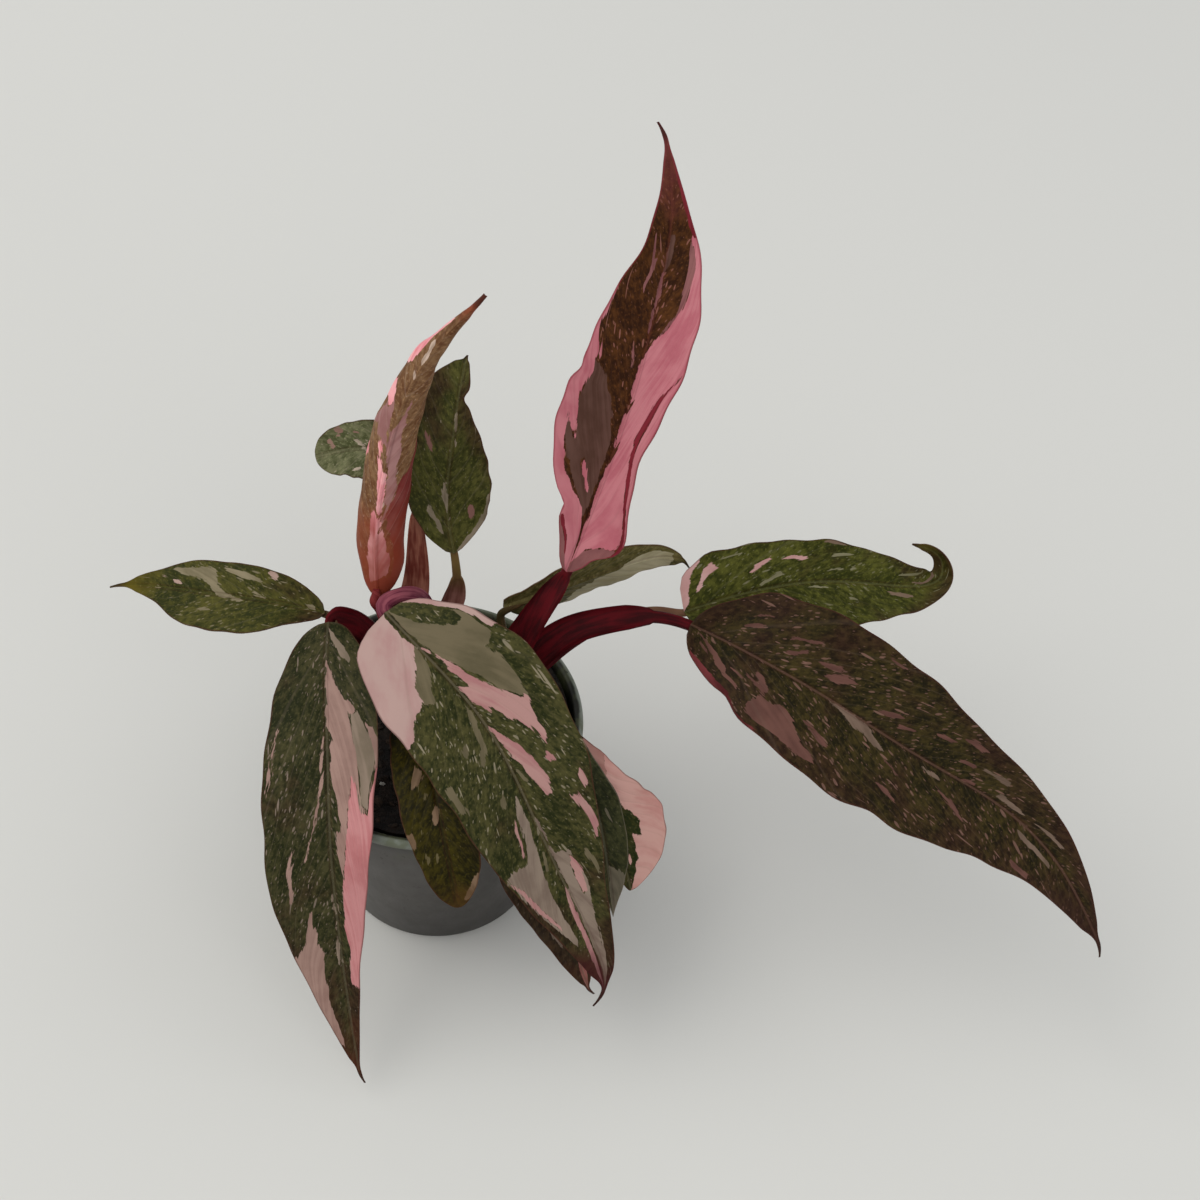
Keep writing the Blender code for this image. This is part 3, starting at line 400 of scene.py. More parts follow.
LEAVES["back_pale"] = dict(
    midrib="13.4,18.1,66 24,20.6,70 35.5,24.4,72.6 45.5,28.2,72.4 51,29,70",
    stalk="15.7,8.1,54.5 14.3,13,60 13,16.6,64.4",
    face=[(0, 0.95, 0.3), (0, 0.95, 0.3), (0, 1, -0.3)],
    left=[7, 9.4, 10.8, 11.4, 10.2, 7.8, 4.8, 2.8, 1.2], right=[2.4, 3, 4.8, 6.8, 7.4, 6, 4, 2.2, 0.4],
    fold=(6, 6), tail=(1, 0.4, -0.6, -1.2), wave=0.15,
    ground=((60, 51, 12), (145, 118, 42)), pale=((410, 360, 230), (300, 260, 150)), flecks=[1],
    streaks=[2], brown=[1], rib_line=0, underside=0, stalk_tones=((40, 30, 10), (90, 50, 20)),
    marks="""
    pale 22,-120 34,-62 66,10 80,60 90,60 92,-120""",
)


# Curves through given points, as in the solids

def read_points(text):
    """Places written as x,y,z with spaces between them."""
    return np.array([place.split(",") for place in text.split()], float)


def unit(vectors):
    return vectors / np.linalg.norm(vectors, axis=-1, keepdims=True)


def run_along(path):
    """How far along a path each of its points lies."""
    return np.concatenate([[0], np.cumsum(np.linalg.norm(np.diff(path, axis=0), axis=1))])


def smooth_path(points, count=240):
    """A natural cubic spline through the points, sampled at even steps."""
    steps = np.linalg.norm(np.diff(points, axis=0), axis=1) ** 0.5
    knots = np.concatenate([[0], np.cumsum(steps)])
    last = len(points) - 1
    system = np.eye(last + 1)
    target = np.zeros_like(points)
    for i in range(1, last):
        before, after = steps[i - 1:i + 1]
        system[i, i - 1:i + 2] = before, 2 * (before + after), after
        target[i] = 6 * ((points[i + 1] - points[i]) / after - (points[i] - points[i - 1]) / before)
    bend = np.linalg.solve(system, target)
    t = np.linspace(0, knots[-1], 4 * count)
    i = np.clip(np.searchsorted(knots, t, side="right") - 1, 0, last - 1)
    gap = steps[i][:, None]
    up = (t - knots[i])[:, None]
    down = gap - up
    curve = (bend[i] * down**3 + bend[i + 1] * up**3) / (6 * gap)
    curve += (points[i] / gap - bend[i] * gap / 6) * down
    curve += (points[i + 1] / gap - bend[i + 1] * gap / 6) * up
    run = run_along(curve)
    even = np.linspace(0, run[-1], count)
    return np.stack([np.interp(even, run, axis) for axis in curve.T], axis=1)


def keyed(keys, where):
    """Values set at even steps from 0 to 1, joined smoothly (Catmull-Rom)."""
    keys = np.atleast_1d(np.asarray(keys, float))
    if len(keys) == 1:
        keys = np.repeat(keys, 2, axis=0)
    last = len(keys) - 1
    x = np.clip(where, 0, 1) * last
    i = np.clip(x.astype(int), 0, last - 1)
    f = (x - i).reshape(x.shape + (1,) * (keys.ndim - 1))
    start = keys[i]
    end = keys[i + 1]
    rise = (end - keys[np.maximum(i - 1, 0)]) / 2
    fall = (keys[np.minimum(i + 2, last)] - start) / 2
    return (start * (1 + 2 * f) * (1 - f) ** 2 + rise * f * (1 - f) ** 2
            + end * f**2 * (3 - 2 * f) - fall * f**2 * (1 - f))


def along(path, where):
    """Points at shares of the way along an evenly sampled path."""
    x = np.clip(where, 0, 1) * (len(path) - 1)
    i = np.clip(x.astype(int), 0, len(path) - 2)
    f = (x - i)[..., None]
    return path[i] * (1 - f) + path[i + 1] * f


def smooth_step(low, high, values):
    t = np.clip((values - low) / (high - low), 0, 1)
    return t * t * (3 - 2 * t)


def bump_at(values, centre, width):
    """A smooth hump of height 1 that is about twice its width across."""
    return np.exp(-((values - centre) / width) ** 2)


def rounded(values):
    """A quarter of a circle: 0 at 0, and 1 from 1 on."""
    return np.sqrt(1 - np.clip(1 - values, 0, 1) ** 2)


def circle(count):
    return np.linspace(0, 2 * np.pi, count, endpoint=False)


def turned(radius, height, angle):
    """Points at these radii, heights and angles round the Z axis."""
    points = radius * np.cos(angle), radius * np.sin(angle), height
    return np.stack(np.broadcast_arrays(*points), axis=-1)


# Meshes and pieces

def link(name, data):
    """A new object with this data, put in the scene."""
    thing = bpy.data.objects.new(name, data)
    bpy.context.scene.collection.objects.link(thing)
    return thing


def mesh_from(bm):
    mesh = bpy.data.meshes.new("mesh")
    bm.to_mesh(mesh)
    bm.free()
    return mesh


def lofted(loops, fields=()):
    """A closed mesh over loops of points that follow each other, in millimetres.

    Each field is an array with one number or vector for each point, kept as an attribute.
    """
    rows, around = loops.shape[:2]
    index = np.arange(rows * around).reshape(rows, around)
    here = index[:-1]
    ahead = index[1:]
    quads = np.stack([here, np.roll(here, -1, 1), np.roll(ahead, -1, 1), ahead], axis=-1)
    mesh = bpy.data.meshes.new("mesh")
    mesh.from_pydata((loops.reshape(-1, 3) * MM).tolist(), [], quads.reshape(-1, 4).tolist())
    for field, values in dict(fields).items():
        vector = values.ndim == 3
        attribute = mesh.attributes.new(field, "FLOAT_VECTOR" if vector else "FLOAT", "POINT")
        attribute.data.foreach_set("vector" if vector else "value", values.reshape(-1))
    bm = bmesh.new()
    bm.from_mesh(mesh)
    bmesh.ops.remove_doubles(bm, verts=bm.verts, dist=0.001 * MM)
    bmesh.ops.holes_fill(bm, edges=bm.edges, sides=0)
    bmesh.ops.recalc_face_normals(bm, faces=bm.faces)
    bm.to_mesh(mesh)
    bm.free()
    return mesh


def make_piece(name, mesh, material, sharp_degrees, node):
    mesh.name = name
    mesh.materials.append(material)
    mesh.shade_smooth()
    mesh.set_sharp_from_angle(angle=math.radians(sharp_degrees))
    piece = link(name, mesh)
    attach(piece, "root")
    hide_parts(node)


# Materials

class Shader:
    """One material, built node by node. A value may be a socket, a number or a colour."""

    def __init__(self, name):
        self.material = bpy.data.materials.new(name)
        self.material.use_nodes = True
        self.tree = self.material.node_tree
        self.surface = self.tree.nodes["Principled BSDF"].inputs

    def put(self, socket, value):
        if isinstance(value, bpy.types.NodeSocket):
            self.tree.links.new(value, socket)
        elif socket.type == "RGBA":
            socket.default_value = (*(part / 1000 for part in value), 1)
        else:
            socket.default_value = value

    def add(self, kind, inputs=(), **settings):
        """A new node with these settings, and with values for its inputs by name or number."""
        node = self.tree.nodes.new(kind)
        for setting, value in settings.items():
            setattr(node, setting, value)
        for socket, value in dict(inputs).items():
            self.put(node.inputs[socket], value)
        return node

    def field(self, name, output="Fac"):
        """A field of the mesh: its number, or its Vector."""
        return self.add("ShaderNodeAttribute", attribute_name=name).outputs[output]

    def place(self):
        return self.add("ShaderNodeTexCoord").outputs["Object"]

    def parts(self, vector):
        return self.add("ShaderNodeSeparateXYZ", {0: vector}).outputs

    def math(self, operation, *values):
        return self.add("ShaderNodeMath", enumerate(values), operation=operation).outputs[0]

    def plus(self, first, second):
        return self.math("ADD", first, second)

    def times(self, first, second):
        return self.math("MULTIPLY", first, second)

    def line(self, value, slope, start):
        return self.math("MULTIPLY_ADD", value, slope, start)

    def step(self, value, start, end):
        """0 at start, 1 at end, and smooth between."""
        inputs = {0: value, 1: start, 2: end}
        return self.add("ShaderNodeMapRange", inputs, interpolation_type="SMOOTHSTEP").outputs[0]

    def mix(self, share, first, second):
        return self.add("ShaderNodeMix", {0: share, 6: first, 7: second}, data_type="RGBA").outputs[2]

    def over(self, colour, share, strength, tone):
        """The colour with a tone laid over a share of it."""
        return self.mix(self.times(share, strength), colour, tone)

    def mapped(self, vector, location, scale):
        inputs = {"Vector": vector, "Location": location, "Scale": scale}
        return self.add("ShaderNodeMapping", inputs).outputs[0]

    def noise(self, vector, scale, seed, detail=2.0, roughness=0.5):
        vector = self.mapped(vector, (seed * 7.3, seed * 3.1, seed), scale)
        inputs = {"Vector": vector, "Scale": 1, "Detail": detail, "Roughness": roughness}
        return self.add("ShaderNodeTexNoise", inputs).outputs[0]

    def dashes(self, vector, scale, seed, reach):
        """Scattered strokes with soft ends: the larger the reach, the longer and the more of them."""
        place = self.mapped(vector, (seed * 5.3, seed * 2.9, 0), (*scale, 1))
        cells = self.add("ShaderNodeTexVoronoi", voronoi_dimensions="2D")
        self.put(cells.inputs["Vector"], place)
        cells.inputs["Scale"].default_value = 1
        draw = self.parts(cells.outputs["Color"])
        rough = self.noise(vector, (2.2 * scale[0], 2.2 * scale[1], 1), seed + 1)
        radius = self.times(reach, self.line(draw[0], 3.2, -2.0))
        radius = self.plus(radius, self.line(rough, 0.24, -0.12))
        return self.step(self.math("SUBTRACT", radius, cells.outputs["Distance"]), -0.03, 0.03)

    def finish(self, colour, roughness, shine, height=0.0, depth=0.0, strength=0.0):
        """Gives the surface its colour, roughness, shine and bumps, and returns the material."""
        bump = self.add("ShaderNodeBump", {"Height": height, "Distance": depth, "Strength": strength})
        values = {"Base Color": colour, "Roughness": roughness, "Specular IOR Level": shine,
                  "Normal": bump.outputs[0]}
        for name, value in values.items():
            self.put(self.surface[name], value)
        return self.material


def leaf_material(name, leaf, seed):
    """Green ground with flecks and streaks, the marked tissues over it, and the underside."""
    s = Shader(name)
    vein = s.field("vein", "Vector")
    even = s.field("even", "Vector")
    cloud = s.noise(even, (0.18, 0.11, 1), seed, detail=3)
    drift = s.noise(even, (0.12, 0.08, 1), seed + 3, detail=4, roughness=0.6)
    grain = s.noise(even, (1.1, 0.55, 1), seed + 1, detail=3, roughness=0.55)
    speckle = s.noise(even, (2.4, 1.3, 1), seed + 8, detail=1)
    threads = s.noise(vein, (0.4, 0.06, 1), seed + 2, detail=3)

    # The ground: mottled, and browner where the leaf is
    dark, light = leaf["ground"]
    tone = s.step(s.plus(s.times(cloud, 0.7), grain), 0.66, 1.1)
    colour = s.mix(tone, dark, light)
    colour = s.over(colour, s.step(speckle, 0.55, 0.72), 0.4, [1.8 * part for part in light])
    brown_share = s.step(s.plus(s.field("brown"), s.line(drift, 1.8, -0.9)), 0.2, 0.75)
    colour = s.over(colour, brown_share, 0.75, s.mix(s.step(grain, 0.32, 0.68), DARK_BROWN, BROWN))

    # Flecks and streaks, sparser where the cloud is thin
    crowd = s.step(cloud, 0.34, 0.58)
    for space, size, reach, strength, part in FLECKS:
        reach = s.times(s.times(s.field(part), crowd), reach)
        dash = s.dashes(even if space == "even" else vein, size, seed + size[0], reach)
        colour = s.over(colour, dash, strength, leaf.get("fleck", leaf["pale"][0]))

    # The tissues, each with its own ragged edge
    blush = s.plus(s.times(threads, 0.45), s.times(cloud, 0.55))
    for spread, tissue in enumerate(TISSUES, 4):
        if tissue in leaf:
            light, deep = leaf[tissue]
            jag = s.noise(vein, (0.3, 0.28, 1), seed + spread, detail=4, roughness=0.62)
            depth = s.plus(s.field(tissue), s.line(jag, 2.8, -1.4))
            fill = s.mix(s.step(blush, 0.42, 0.60), light, deep)
            fill = s.over(fill, s.step(grain, 0.35, 0.75), 0.25, light)
            colour = s.mix(s.step(depth, -0.08, 0.10), colour, fill)

    # Side veins, midrib, margin, reddened tip and tail
    rib = s.field("rib")
    colour = s.over(colour, s.step(s.field("side_vein"), 0.2, 0.05), 0.10, leaf["pale"][0])
    rib_tone = leaf.get("rib_tone", leaf["pale"][1])
    colour = s.over(colour, s.step(rib, 0.30, 0.10), leaf["rib_line"], rib_tone)
    beside_rib = s.times(s.step(rib, 0.22, 0.34), s.step(rib, 0.7, 0.4))
    colour = s.over(colour, beside_rib, 0.25, MAROON)
    edge = s.step(s.plus(s.field("margin"), s.times(cloud, 0.5)), 0.6, 0.3)
    colour = s.over(colour, edge, 0.6, leaf["margin"])
    red_share = s.step(s.plus(s.field("red"), s.line(cloud, 0.9, -0.45)), 0.25, 0.95)
    colour = s.over(colour, red_share, 0.85, leaf["tip_tone"])
    colour = s.over(colour, s.parts(even)[2], 0.75, TAIL_TONE)

    # The underside is duller and redder
    under_tone = s.mix(tone, (85, 34, 24), (150, 75, 48))
    colour = s.over(colour, s.field("under"), leaf["underside"], under_tone)
    height = s.plus(s.times(threads, 0.35), s.times(grain, 0.4))
    return s.finish(colour, s.line(grain, 0.3, 0.36), 0.06, height, 0.16 * MM, 0.6)


def stalk_material(name, leaf, seed):
    s = Shader(name)
    run = s.field("run", "Vector")
    dark, light, *end = leaf["stalk_tones"]
    stripe = s.noise(run, (0.12, 1.6, 1), seed, detail=3, roughness=0.6)
    patch = s.noise(run, (0.22, 0.3, 1), seed + 1)
    colour = s.mix(s.step(s.plus(stripe, s.times(patch, 0.6)), 0.62, 1.0), dark, light)
    if end:
        near_blade = s.step(s.parts(run)[2], 0.6, 0.85)
        colour = s.over(colour, near_blade, s.line(patch, 0.8, 0.5), end[0])
    return s.finish(colour, s.line(patch, 0.25, 0.4), 0.06, stripe, 0.2 * MM, 0.5)


# Leaf blades

def by_side(pair, station, side):
    """The left or the right one of two values that are keyed along the leaf."""
    return np.where(side > 0, keyed(pair[1], station), keyed(pair[0], station))


def tail_step(leaf, start, end, station):
    """0 before the drip tip and 1 on it, from start to end of its length before the leaf's end."""
    tail = leaf["tail"][0] / leaf["length"]
    return smooth_step(1 - start * tail, 1 - end * tail, station)


def half_width(leaf, station, side):
    """The half width in millimetres on the side that a point lies, before the fold."""
    width = np.maximum(by_side((leaf["left"], leaf["right"]), station, side), 0)
    phase = np.where(side > 0, 0.3, 0.8)
    swing = np.sin(2 * np.pi * (5.3 * station + phase)) + np.sin(2 * np.pi * (8.9 * station - phase))
    width = width * (1 + leaf["ripple"] * swing)
    for hand, centre, depth, reach in leaf["nicks"]:
        width = width - depth * bump_at(station, centre, reach) * (side * hand > 0)
    width = width * rounded(station / BASE_ROUND)
    if "round_tip" in leaf:
        width = width * rounded((1 - station) / TIP_ROUND)
    if "tail" in leaf:
        share = tail_step(leaf, 2.4, 0.8, station)
        tapered = TAIL_HALF_WIDTH * (1 - 0.6 * tail_step(leaf, 1, 0, station))
        width = width * (1 - share) + tapered * share
    return width


def leaf_frame(leaf, station):
    """Places on the midrib, with its direction and the upper face's normal at each of them."""
    forward = unit(along(np.gradient(leaf["path"], axis=0), station))
    face = keyed(leaf["face"], station)
    normal = unit(face - (face * forward).sum(-1, keepdims=True) * forward)
    return along(leaf["path"], station), forward, normal


def blade_surface(leaf, row, side):
    """The upper face: its points and normals, the station along the leaf and the half width."""
    share = np.abs(side)
    reach = VEIN_SWEEP * (1 - np.exp(-row / 0.07)) * (1 - row) ** 0.9
    station = np.clip(row + reach * share ** 1.15, 0, 1)
    centre, forward, normal = leaf_frame(leaf, station)
    if "tail" in leaf:
        tail, *hook = leaf["tail"]
        past = np.clip(1 - (1 - station) * leaf["length"] / (1.3 * tail), 0, 1)
        centre = centre + past[..., None] ** 2 * hook
    width = half_width(leaf, station, side)
    fold = np.radians(by_side(leaf["fold"], station, side))
    turn = by_side(leaf["turn"], station, side)
    turn = np.radians(np.where(np.abs(turn) < 0.1, 0.1, turn))
    lean = fold + turn * share
    out = width * (np.sin(lean) - np.sin(fold)) / turn
    rise = width * (np.cos(fold) - np.cos(lean)) / turn
    outward = np.cross(forward, normal) * np.sign(side)[..., None]
    points = centre + outward * out[..., None] + normal * rise[..., None]
    normals = normal * np.cos(lean)[..., None] - outward * np.sin(lean)[..., None]
    return points, normals, station, width


def inside_distance(places, corners):
    """How far inside a closed outline each place lies, negative outside."""
    nearest = np.full(places.shape[:-1], np.inf)
    inside = np.zeros(places.shape[:-1], bool)
    for start, end in zip(corners, np.roll(corners, -1, axis=0)):
        run = end - start
        share = np.clip((places - start) @ run / (run @ run), 0, 1)
        gap = places - start - share[..., None] * run
        nearest = np.minimum(nearest, np.linalg.norm(gap, axis=-1))
        level = (start[1] > places[..., 1]) != (end[1] > places[..., 1])
        crossing = start[0] + (places[..., 1] - start[1]) * run[0] / (run[1] or 1)
        inside ^= level & (places[..., 0] < crossing)
    return np.where(inside, nearest, -nearest)


def read_marks(text):
    """The markings in order: each a tissue and the corners of its outline, as shares."""
    marks = []
    for word in text.split():
        if word.isalpha():
            marks.append((word, []))
        else:
            marks[-1][1].append([float(number) / 100 for number in word.split(",")])
    return marks


def paint_marks(leaf, station, side, widest):
    """How deep in each tissue a point lies, in millimetres, on the leaf laid out as a rectangle."""
    size = leaf["length"], widest
    places = np.stack([station, side], axis=-1) * size
    depths = {tissue: np.full(station.shape, -30.0) for tissue in TISSUES}
    for kind, outline in read_marks(leaf["marks"]):
        depth = inside_distance(places, np.array(outline) * size)
        for tissue, before in depths.items():
            inside = np.maximum(before, depth)
            depths[tissue] = inside if tissue == kind else np.minimum(before, -depth)
    return depths


def blade_mesh(leaf):
    length = leaf["length"]
    widest = max(leaf["left"] + leaf["right"])
    rows = np.linspace(0, 1, round(length / ROW_STEP) + 1) ** ROW_CROWDING
    half = np.linspace(0, 1, round(widest / COLUMN_STEP) + 1) ** COLUMN_CROWDING
    row, side = np.meshgrid(rows, np.concatenate([-half[:0:-1], half]), indexing="ij")
    points, normals, station, width = blade_surface(leaf, row, side)

    share = np.abs(side)
    from_rib = share * width
    from_margin = (1 - share) * width
    phase = row * length / VEIN_GAP
    to_vein = np.abs(phase - np.round(phase)) * VEIN_GAP * 0.5
    open_face = smooth_step(0.3, 2.2, from_rib) * smooth_step(0.1, 2.5, from_margin)
    open_face *= smooth_step(0.0, 0.08, row) * smooth_step(1.0, 0.9, station)

    # Waved margins, and the face puffed up between the sunk veins
    swing = np.sin(2 * np.pi * (WAVES * station + np.where(side > 0, 0.15, 0.6)))
    swing += 0.5 * np.sin(2 * np.pi * (2.3 * WAVES * station + np.where(side > 0, 0.7, 0.2)))
    ends = smooth_step(0, 0.15, station) * smooth_step(1.0, 0.8, station)
    lift = leaf["wave"] * swing * share**2.5 * ends
    lift += open_face * (0.09 * np.minimum(to_vein / 0.9, 1) - 0.07)
    groove = 0.24 * bump_at(from_rib, 0, 0.5) * (1 - 0.7 * station) * smooth_step(0, 0.2, station)
    top = points + normals * (lift - groove)[..., None]

    # The lower face, with the midrib and the side veins standing out of it
    thick = BLADE_EDGE + (BLADE - BLADE_EDGE) * smooth_step(0, 1.6, from_margin)
    keel = leaf["stalk_radius"][1] * leaf["keel"] * (1 - 0.75 * station)
    ridge = keel * rounded(1 - from_rib / (1.15 * keel))
    ridge = ridge * smooth_step(0, 1.0, from_margin + 0.3) * smooth_step(1.0, 0.93, station)
    ridge += 0.13 * leaf["keel"] * bump_at(to_vein, 0, 0.22) * open_face
    bottom = top - normals * (thick + ridge - groove * 0.3)[..., None]

    fields = {tint: keyed(leaf[tint], station) / 10 for tint in ("flecks", "streaks", "brown", "red")}
    fields["brown"] *= 0.55 + 0.9 * share
    fields |= paint_marks(leaf, station, side, widest)
    fields |= dict(margin=from_margin, rib=from_rib, side_vein=to_vein)
    zero = np.zeros_like(row)
    tail = tail_step(leaf, 1.5, 0.6, station) if "tail" in leaf else zero
    fields["vein"] = np.stack([row * length, 2 * side * width, zero], axis=-1)
    lean = math.radians(VEIN_LEAN)
    ahead = station * length
    fields["even"] = np.stack([
        from_rib * math.cos(lean) - ahead * math.sin(lean) + 50 * (side > 0),
        from_rib * math.sin(lean) + ahead * math.cos(lean),
        tail], axis=-1)
    fields = {name: np.concatenate([values, values[:, ::-1]], axis=1) for name, values in fields.items()}
    fields["under"] = np.concatenate([zero, zero + 1], axis=1)
    return lofted(np.concatenate([top, bottom[:, ::-1]], axis=1), fields)


# Leaf stalks

def stalk_mesh(leaf):
    """A rod that opens into a grooved sheath lower down and runs on as the rib under the blade."""
    start_radius, end_radius = leaf["stalk_radius"]
    centre, _, normal = leaf_frame(leaf, np.array([0, 0.5, 1]) * leaf["rib"])
    rib = centre - normal * (RIB_SINK + end_radius * np.array([[1], [0.75], [0.5]]))
    path = smooth_path(np.concatenate([read_points(leaf["stalk"]), rib]))
    length = run_along(path)[-1]
    blade_at = 1 - leaf["rib"] * leaf["length"] / length
    forward = unit(np.gradient(path, axis=0))
    normals = np.empty_like(path)
    normals[-1] = normal[0]
    for i in range(len(path) - 2, -1, -1):
        normals[i] = unit(normals[i + 1] - (normals[i + 1] @ forward[i]) * forward[i])

    shares = np.linspace(0, 1, STALK_RINGS)
    share, angle = np.meshgrid(shares, circle(STALK_SIDES), indexing="ij")
    normal = unit(along(normals, share))
    across = np.cross(unit(along(forward, share)), normal)

    sheath_width, sheath_end = leaf["sheath"]
    thinning = np.minimum(share / blade_at, 1)
    radius = start_radius + (end_radius - start_radius) * thinning
    radius *= 1 - 0.5 * np.maximum(share - blade_at, 0) / (1 - blade_at)
    opening = np.clip((1 - thinning / sheath_end) * leaf["lobe"], 0, 1) ** 0.5
    wing = np.abs(np.cos(angle)) ** 4
    x = radius * (1 + (sheath_width - 1) * opening) * np.cos(angle)
    y = radius * np.sin(angle) * (1 - 0.25 * opening)
    y += radius * opening * (0.9 * wing - 0.85 * np.maximum(np.sin(angle), 0))
    groove = 0.22 * radius * (1 - opening) * bump_at(angle, np.pi / 2, 0.5)
    y -= groove * (thinning < 1)
    loops = along(path, share) + across * x[..., None] + normal * y[..., None]

    return lofted(loops, {"run": np.stack([share * length, angle * radius, thinning], axis=-1)})


def make_leaf(title, leaf, seed):
    node = "leaf_" + title
    leaf = USUAL | leaf
    leaf["path"] = smooth_path(read_points(leaf["midrib"]))
    leaf["length"] = run_along(leaf["path"])[-1]
    for part, make_mesh, make_material, sharp_degrees in (("_blade", blade_mesh, leaf_material, 50),
                                                          ("_stalk", stalk_mesh, stalk_material, 70)):
        name = title + part
        material = make_material(name + "_skin", leaf, seed)
        make_piece(name, make_mesh(leaf), material, sharp_degrees, node)


# Pot

def outer_radius(height):
    return POT_BASE_RADIUS + (POT_RIM_RADIUS - RIM_LIP - POT_BASE_RADIUS) * height / POT_HEIGHT


def inner_radius(height):
    return outer_radius(height) - POT_WALL


def pot_material():
    s = Shader("pot_plastic_finish")
    place = s.place()
    x, y, height = s.parts(place)
    haze = s.noise(place, (60, 60, 40), 1, detail=4)
    stain = s.noise(place, (150, 150, 90), 2, detail=4, roughness=0.65)
    speck = s.noise(place, (900, 900, 700), 3)
    colour = s.mix(s.step(haze, 0.35, 0.65), (30, 26, 22), (56, 50, 44))
    # The lighter rim is partly the plastic's grey-green, partly painted light through the thin rim.
    colour = s.mix(s.step(height, POT_HEIGHT - 3 * MM, POT_HEIGHT - 1 * MM), colour, (175, 190, 155))
    radius = s.math("SQRT", s.plus(s.times(x, x), s.times(y, y)))
    radius = s.plus(radius, s.line(stain, 1.6 * MM, -0.8 * MM))
    inside = s.times(s.step(radius, POT_RIM_RADIUS - 0.6 * MM, POT_RIM_RADIUS - 1.1 * MM),
                     s.step(height, POT_HEIGHT - 8 * MM, POT_HEIGHT - 3 * MM))
    colour = s.over(colour, inside, 0.93, (12, 11, 7))
    algae = s.times(s.step(height, POT_HEIGHT - 14 * MM, POT_HEIGHT), s.step(stain, 0.47, 0.6))
    colour = s.over(colour, algae, 0.6, (75, 85, 35))
    dirt = s.times(s.step(speck, 0.66, 0.70), s.step(stain, 0.45, 0.55))
    colour = s.mix(dirt, colour, (20, 14, 10))
    height = s.plus(haze, s.times(stain, 0.3))
    return s.finish(colour, s.line(stain, 0.3, 0.3), 0.35, height, 0.4 * MM, 0.3)


def make_pot():
    rim_foot = POT_HEIGHT - RIM_HEIGHT
    floor_radius = inner_radius(POT_FLOOR)
    bead = (POT_RIM_RADIUS - inner_radius(POT_HEIGHT)) / 2
    profile = [(0, POT_FLOOR), (floor_radius - 0.8 * MM, POT_FLOOR),
               (floor_radius + 0.1 * MM, POT_FLOOR + 0.9 * MM)]
    for angle in np.linspace(np.pi, 0, 9):
        profile.append((POT_RIM_RADIUS - bead + bead * math.cos(angle),
                        POT_HEIGHT - bead + bead * math.sin(angle)))
    profile += [(POT_RIM_RADIUS, rim_foot + 0.5 * MM), (POT_RIM_RADIUS - 0.2 * MM, rim_foot),
                (outer_radius(rim_foot), rim_foot - 0.2 * MM),
                (POT_BASE_RADIUS + 0.3 * MM, 1.0 * MM), (POT_BASE_RADIUS - 0.6 * MM, 0), (0, 0)]
    radius, height = np.transpose(profile)[:, :, None] / MM
    pot = link("uncut", lofted(turned(radius, height, circle(POT_SEGMENTS))))
    bm = bmesh.new()
    for centre in turned(DRAIN_CIRCLE, 0, circle(DRAINS) + np.pi / DRAINS):
        spot = Matrix.Translation(centre) @ Matrix.Rotation(math.radians(DRAIN_TURN), 4, "Z")
        bmesh.ops.create_cone(bm, cap_ends=True, segments=32, radius1=DRAIN_RADIUS,
                              radius2=DRAIN_RADIUS, depth=4 * POT_FLOOR, matrix=spot)
    drains = link("drains", mesh_from(bm))
    cut = pot.modifiers.new("drains", "BOOLEAN")
    cut.operation = "DIFFERENCE"
    cut.object = drains
    holed = bpy.data.meshes.new_from_object(pot.evaluated_get(bpy.context.evaluated_depsgraph_get()))
    for thing in (pot, drains):
        bpy.data.objects.remove(thing)
    make_piece("pot_shell", holed, pot_material(), 35, "pot")


# Soil

def soil_material(name, dark, light, seed):
    s = Shader(name)
    place = s.place()
    clump = s.noise(place, (420, 420, 420), seed, detail=4, roughness=0.65)
    grain = s.noise(place, (1900, 1900, 1900), seed + 1, detail=3)
    height = s.plus(clump, s.times(grain, 0.5))
    return s.finish(s.mix(s.step(clump, 0.36, 0.66), dark, light), s.line(grain, 0.3, 0.62), 0.3,
                    height, 0.9 * MM, 0.8)


def soil_height(x, y):
    """The crumbly top of the potting mix, in metres, at a place in metres."""
    radius = math.hypot(x, y) / inner_radius(SOIL_TOP)
    lumps = noise.noise((x * 190, y * 190, 3.0)) + 0.6 * noise.noise((x * 520, y * 520, 9.0))
    return SOIL_TOP + 3.7 * MM * min(radius, 1) ** 8 + 0.55 * MM * lumps


def make_soil():
    bottom = POT_FLOOR + 0.3 * MM
    outer = inner_radius(SOIL_TOP - 1 * MM) - 0.1 * MM
    radius = outer * np.arange(SOIL_RINGS + 1)[:, None] / SOIL_RINGS
    top = turned(radius, 0.0, circle(SOIL_SEGMENTS))
    top[..., 2] = np.vectorize(soil_height)(top[..., 0], top[..., 1])
    foot = turned(inner_radius(bottom) - 0.3 * MM, bottom, circle(SOIL_SEGMENTS))
    mesh = lofted(np.concatenate([top, foot[None]]) / MM)
    material = soil_material("soil_bed_finish", (5, 3.5, 2), (20, 12, 7), 1)
    make_piece("soil_bed", mesh, material, 50, "soil")


def crumb_places(draw, count, margin):
    """Seeded places on the soil, clear of the stems and of the pot's wall."""
    places = []
    while len(places) < count:
        radius = (inner_radius(SOIL_TOP) - margin) * math.sqrt(draw.random())
        angle = draw.uniform(0, 2 * math.pi)
        place = radius * math.cos(angle), radius * math.sin(angle)
        if all(math.dist(place, (x * MM, y * MM)) - foot * MM > margin
               for (x, y), _, foot, _ in STEMS.values()):
            places.append(place)
    return places


